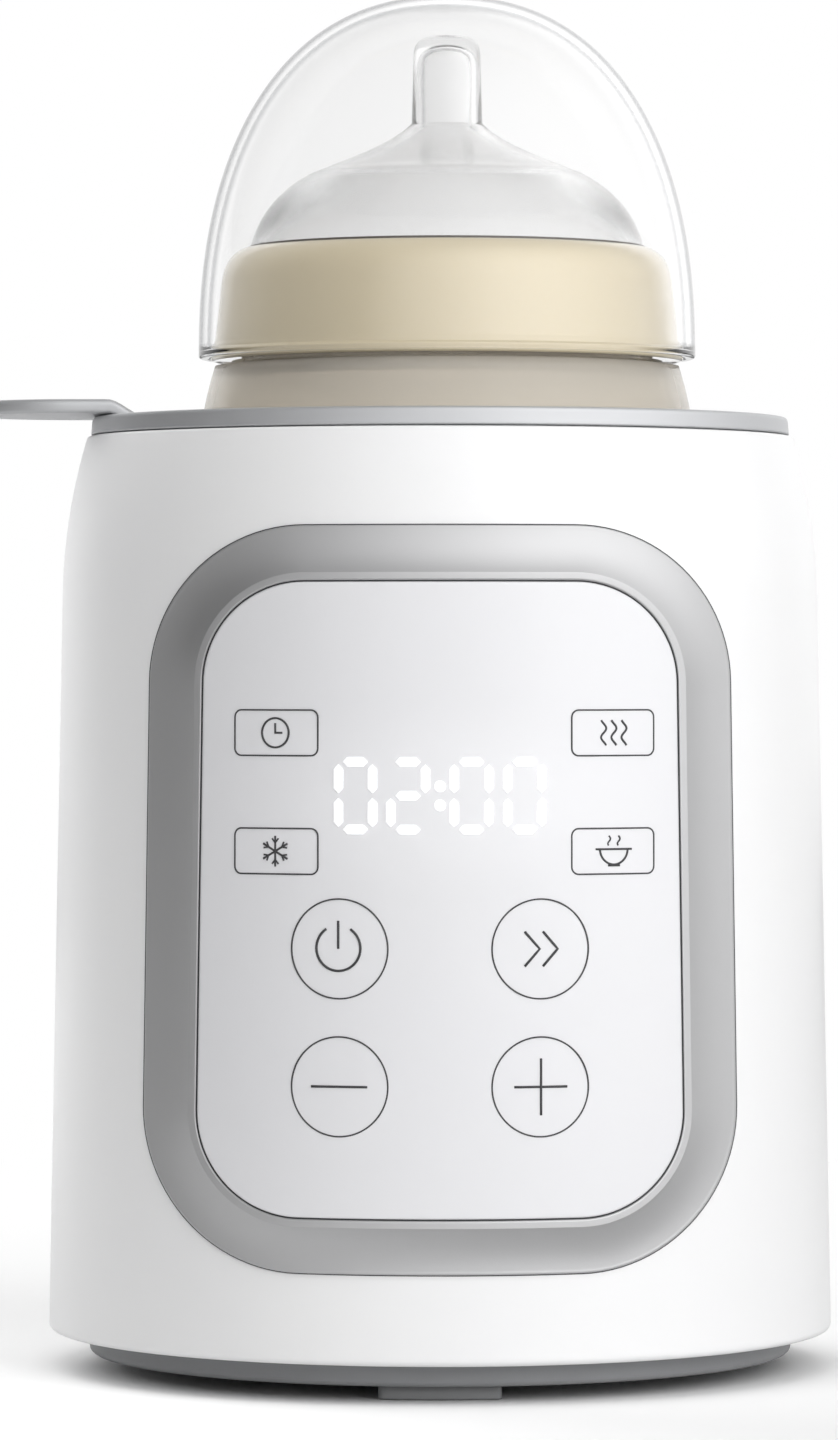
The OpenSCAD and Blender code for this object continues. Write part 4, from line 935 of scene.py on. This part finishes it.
def makeNipple():
    # Flange under the collar, then dome, cone and tip as curves outside and inside, carried round the axis
    n = nipple
    r = n["r"]
    w = n["wall"]
    d = n["dome"]
    tipR = n["tipR"]
    top = collar["topZ"]
    foot = top + n["slack"]
    knee = top + d * 0.6
    tip = top + d
    end = n["topZ"]
    roof = end - w
    seat = top - collar["lipT"] - n["slack"]
    flange = softened([(r - w, n["lowZ"], 0), (n["flangeR"], n["lowZ"], 0.25), (n["flangeR"], seat, 0.25),
                       (r, seat, 0.2), (r, foot, 0)], closed=False)[:-1]
    dome = bez((r, foot), (r - 1.4, foot + d * 0.3), (r * 0.83, foot + d * 0.48), (r * 0.69, knee), 24)
    cone = bez((r * 0.66, knee + 0.35), (r * 0.5, knee + d * 0.12), (tipR + 3.4, knee + d * 0.23),
               (tipR, tip), 24)
    crown = bez((tipR - 0.3, end - 3), (tipR - 0.4, end - 0.6), (tipR - 1.6, end), (0, end), 18)
    bore = bez((0, roof), (tipR - 2.4, roof), (tipR - w, roof - 1.2), (tipR - w, roof - 4), 10)
    innerCone = bez((tipR - w, tip - 1), (tipR + 2.6, knee + d * 0.14), (r * 0.48, knee + d * 0.05),
                    (r * 0.63, knee - w), 24)
    innerDome = bez((r * 0.66, knee - w - 0.4), (r * 0.8 - w * 0.7, foot + d * 0.38),
                    (r - w - 1, foot + d * 0.2), (r - w, foot), 24)
    outline = np.concatenate([flange, dome, cone, crown, bore, innerCone, innerDome])
    return [loft(revolve(outline, bottle["x"]))]


def makeNippleSeamShade():  # thin dark ring where the silicone comes out of the collar, painted shade of the groove between them
    outline = np.array(nipple["seam"]) + [nipple["r"], collar["topZ"]]
    return [loft(revolve(outline, bottle["x"]))]


def makeCap():
    # Dome between an ellipse and a box in outline, with a rounded foot and a snap bead inside it
    c = cap
    low = c["lowZ"]
    height = c["topZ"] - low
    innerR = c["r"] - c["wall"]
    beadR = innerR - c["bead"]
    a = np.radians(np.concatenate([np.linspace(1.5, 84, 60), [86, 88, 89.2, 90]]))
    power = 2 / c["power"]

    def line(r, h):  # quarter of the outline, from the foot to the top
        return np.stack([r * np.cos(a).clip(0) ** power, low + h * np.sin(a) ** power], -1)

    outer = line(c["r"], height)
    inner = line(innerR, height - c["wall"])[::-1]
    foot = softened([(innerR, low + c["beadTop"], 0), (beadR, low + c["beadH"], 0.2), (beadR, low, 0.2),
                     (c["r"], low, 0.45), (c["r"], low + 2, 0)], closed=False)[:-1]
    inner = inner[inner[:, 1] > low + c["innerFrom"]]
    outer = outer[outer[:, 1] > low + c["outerFrom"]]
    return [loft(revolve(np.concatenate([outer, inner, foot]), bottle["x"]))]


addPiece("bottleBody", "bottle", "bottle_clear", makeBottle(), ["bottle"])
addPiece("bottleCollar", "collar", "collar_cream", makeCollar(), ["collar"])
addPiece("bottleNipple", "nipple", "nipple_silicone", makeNipple(), ["nipple"])
# a dark ring painted in place of the shade in the groove round the nipple's foot
seamShadeBrown = moulded("seamShadeBrown", (84, 78, 70), (74, 69, 62), (0.5, 0.6), 0.0)
addPiece("nippleSeamShade", "nipple", "gland_rubber", makeNippleSeamShade(), material=seamShadeBrown)
addPiece("bottleCap", "cap", "cap_clear", makeCap(), ["dome_cap"])
print("bottle made")

# Feet and cord gland

footPad = {
    "r": 52.6, "deep": 9.0, "wide": 20.0, "high": 3.3, "edge": 0.09, "straight": 0.86, "endDepth": 0.45,
}


def makeFoot(angle):
    # A curved pad: a rounded section carried along an arc, drawn in at both ends so that they are round too
    f = footPad
    t = np.linspace(-1, 1, 41)
    squeeze = np.sqrt(1 - np.clip((np.abs(t) - f["straight"]) / (1 - f["straight"]), 0, 1) ** 2)
    section = softened([(-0.5, 0, f["edge"]), (0.5, 0, f["edge"]), (0.5, 1, 0), (-0.5, 1, 0)])
    section[:, 1] *= f["high"]
    a = math.radians(angle) + f["wide"] / 2 / f["r"] * t
    between = (np.abs(t) < 1)[:, None]  # each end closes to a point
    depth = f["deep"] * (f["endDepth"] + (1 - f["endDepth"]) * squeeze[:, None])
    r = f["r"] - f["deep"] / 2 + section[None, :, 0] * depth * between
    z = np.where(between, section[:, 1], f["high"] / 2)
    return [loft(np.stack([r * np.cos(a)[:, None], r * np.sin(a)[:, None], z], -1), False, True)]


def makeGland():  # flange, bush and bore in one outline carried round the cord's axis
    g = gland
    face = g["backY"] - g["flangeT"]
    outline = softened([
        (g["bore"], g["backY"], 0.5), (g["flangeR"], g["backY"], 0.8), (g["flangeR"], face, 0.1),
        (g["bushR"], face, 0), (g["bushR"], g["frontY"], 0.5), (g["bore"], g["frontY"], 0.4)])
    return [aroundCord(outline)]


for node, angle in (("front_foot", 270), ("rear_left_foot", 150), ("rear_right_foot", 30)):
    addPiece(node + "Pad", "housing", "foot_rubber", makeFoot(angle), [node])
addPiece("cordGland", "housing", "gland_rubber", makeGland(), ["cord_gland"])
print("feet and gland made")

# Floor, light and camera

studio = {
    "floorHalf": 3.0, "floorColour": (243, 243, 243), "clearFrom": 0.1, "clearTo": 0.42, "floorGlow": 0.22,
    "glowFrom": 0.05, "glowTo": 0.064, "frontLight": 0.566, "backFrom": 0.55, "backTo": 0.78,
    "cameraAt": (0, -1.0406, 0.1129), "aim": (-0.00333, 0, 0.10217), "lens": 163.895, "sensor": 36.0,
    "lampRange": 1.5, "lampSize": 1.5, "lampAim": (0, 0, 0.09),
    "lamps": {"key": (45, 20, 15.4), "top": (0, 75, 8.2), "leftBack": (-136, 25, 18.0)},
    "bentFrom": 25.0, "bentTo": 45.0, "bentLight": 0.68,
    "mirrored": {"front": (0, 0, 0.62), "frontRight": (45, -8, 1.55), "right": (90, 15, 0.86),
                 "top": (-20, 70, 0.34)},
}


def makeFloor():
    # A matt sheet that keeps the soft shadow near the object and turns to plain white farther out
    s = studio
    half = s["floorHalf"]
    corners = [(-half, -half, 0), (half, -half, 0), (half, half, 0), (-half, half, 0)]
    mesh = bpy.data.meshes.new("floor")
    mesh.from_pydata(corners, [], [(0, 1, 2, 3)])
    floor = addObject("floor", mesh)
    material = bpy.data.materials.new("paleFloor")
    material.use_nodes = True
    tree = material.node_tree
    tree.nodes.remove(tree.nodes["Principled BSDF"])
    matt = tree.nodes.new("ShaderNodeBsdfDiffuse")
    matt.inputs["Color"].default_value = tone(*s["floorColour"])
    path = tree.nodes.new("ShaderNodeLightPath").outputs
    seen = mathNode(tree, "MAXIMUM", path["Is Camera Ray"], path["Is Transmission Ray"])
    far = vectorValue(tree, "LENGTH", objectPlace(tree))

    def fading(start, end):  # 0 to 1 with the distance from the object, where the background is seen
        return mathNode(tree, "MULTIPLY", ramp(tree, far, start, end, kind="SMOOTHSTEP"), seen)

    glow = tree.nodes.new("ShaderNodeEmission")  # none under the object, which keeps its dark contact line
    strength = mathNode(tree, "MULTIPLY", fading(s["glowFrom"], s["glowTo"]), s["floorGlow"])
    tree.links.new(strength, glow.inputs["Strength"])
    near = tree.nodes.new("ShaderNodeAddShader")
    tree.links.new(matt.outputs[0], near.inputs[0])
    tree.links.new(glow.outputs[0], near.inputs[1])
    white = tree.nodes.new("ShaderNodeEmission")
    surface = mixShaders(tree, fading(s["clearFrom"], s["clearTo"]), near.outputs[0], white.outputs[0])
    tree.links.new(surface, tree.nodes["Material Output"].inputs["Surface"])
    mesh.materials.append(material)


def heading(side, up):  # direction at an angle to the right of the camera and upward
    a = math.radians(side)
    e = math.radians(up)
    return Vector((math.sin(a) * math.cos(e), -math.cos(a) * math.cos(e), math.sin(e)))


def skyLobe(tree, way, strength):  # light that falls off with the cosine of the angle to its direction
    dot = vectorValue(tree, "DOT_PRODUCT", objectPlace(tree), way)
    return mathNode(tree, "MULTIPLY", mathNode(tree, "MAXIMUM", dot, 0.0), strength)


def makeSky():
    # White where it is seen, and dark to the sides of the backdrop where only bent rays reach, which draws
    # the edges of clear plastic; matt surfaces get a weak light from the front, and reflections show soft
    # lights to the front and right, with the backdrop behind the object
    s = studio
    world = bpy.data.worlds.new("studioSky")
    world.use_nodes = True
    bpy.context.scene.world = world
    tree = world.node_tree
    sky = tree.nodes["Background"].inputs
    sky["Color"].default_value = (1, 1, 1, 1)
    path = tree.nodes.new("ShaderNodeLightPath").outputs
    front = skyLobe(tree, heading(0, 0), s["frontLight"])
    back = skyLobe(tree, heading(180, 0), 1.0)
    matt = mathNode(tree, "MULTIPLY", front, path["Is Diffuse Ray"])
    shine = ramp(tree, back, s["backFrom"], s["backTo"])
    for side, up, strength in s["mirrored"].values():
        shine = mathNode(tree, "ADD", shine, skyLobe(tree, heading(side, up), strength))
    shine = mathNode(tree, "MULTIPLY", shine, path["Is Glossy Ray"])
    bentTo = math.cos(math.radians(s["bentTo"]))
    bentFrom = math.cos(math.radians(s["bentFrom"]))
    bent = ramp(tree, back, bentTo, bentFrom, s["bentLight"])
    bent = mathNode(tree, "MULTIPLY", bent, path["Is Transmission Ray"])
    seen = mathNode(tree, "MAXIMUM", bent, path["Is Camera Ray"])
    light = mathNode(tree, "MAXIMUM", mathNode(tree, "ADD", matt, shine), seen)
    tree.links.new(light, sky["Strength"])


def aimAt(obj, place, target):  # stands at a place and looks at a target
    obj.location = place
    obj.rotation_euler = (Vector(target) - Vector(place)).to_track_quat("-Z", "Y").to_euler()


def makeLamps():  # round soft lamps at one distance, each by its angle to the right of the camera and upward
    s = studio
    for name, (side, up, power) in s["lamps"].items():
        lamp = bpy.data.lights.new(name, "AREA")
        lamp.shape = "DISK"
        lamp.size = s["lampSize"]
        lamp.energy = power
        obj = addObject(name, lamp)
        obj.visible_glossy = False
        obj.visible_transmission = False
        aimAt(obj, Vector(s["lampAim"]) + s["lampRange"] * heading(side, up), s["lampAim"])


def makeCamera():  # a long lens a little above the middle of the object
    s = studio
    data = bpy.data.cameras.new("camera")
    data.sensor_fit = "VERTICAL"
    data.sensor_height = s["sensor"]
    data.lens = s["lens"]
    camera = addObject("camera", data)
    aimAt(camera, s["cameraAt"], s["aim"])
    bpy.context.scene.camera = camera


makeFloor()
makeSky()
makeLamps()
makeCamera()
bpy.context.scene.view_settings.view_transform = "Standard"
print("studio made")
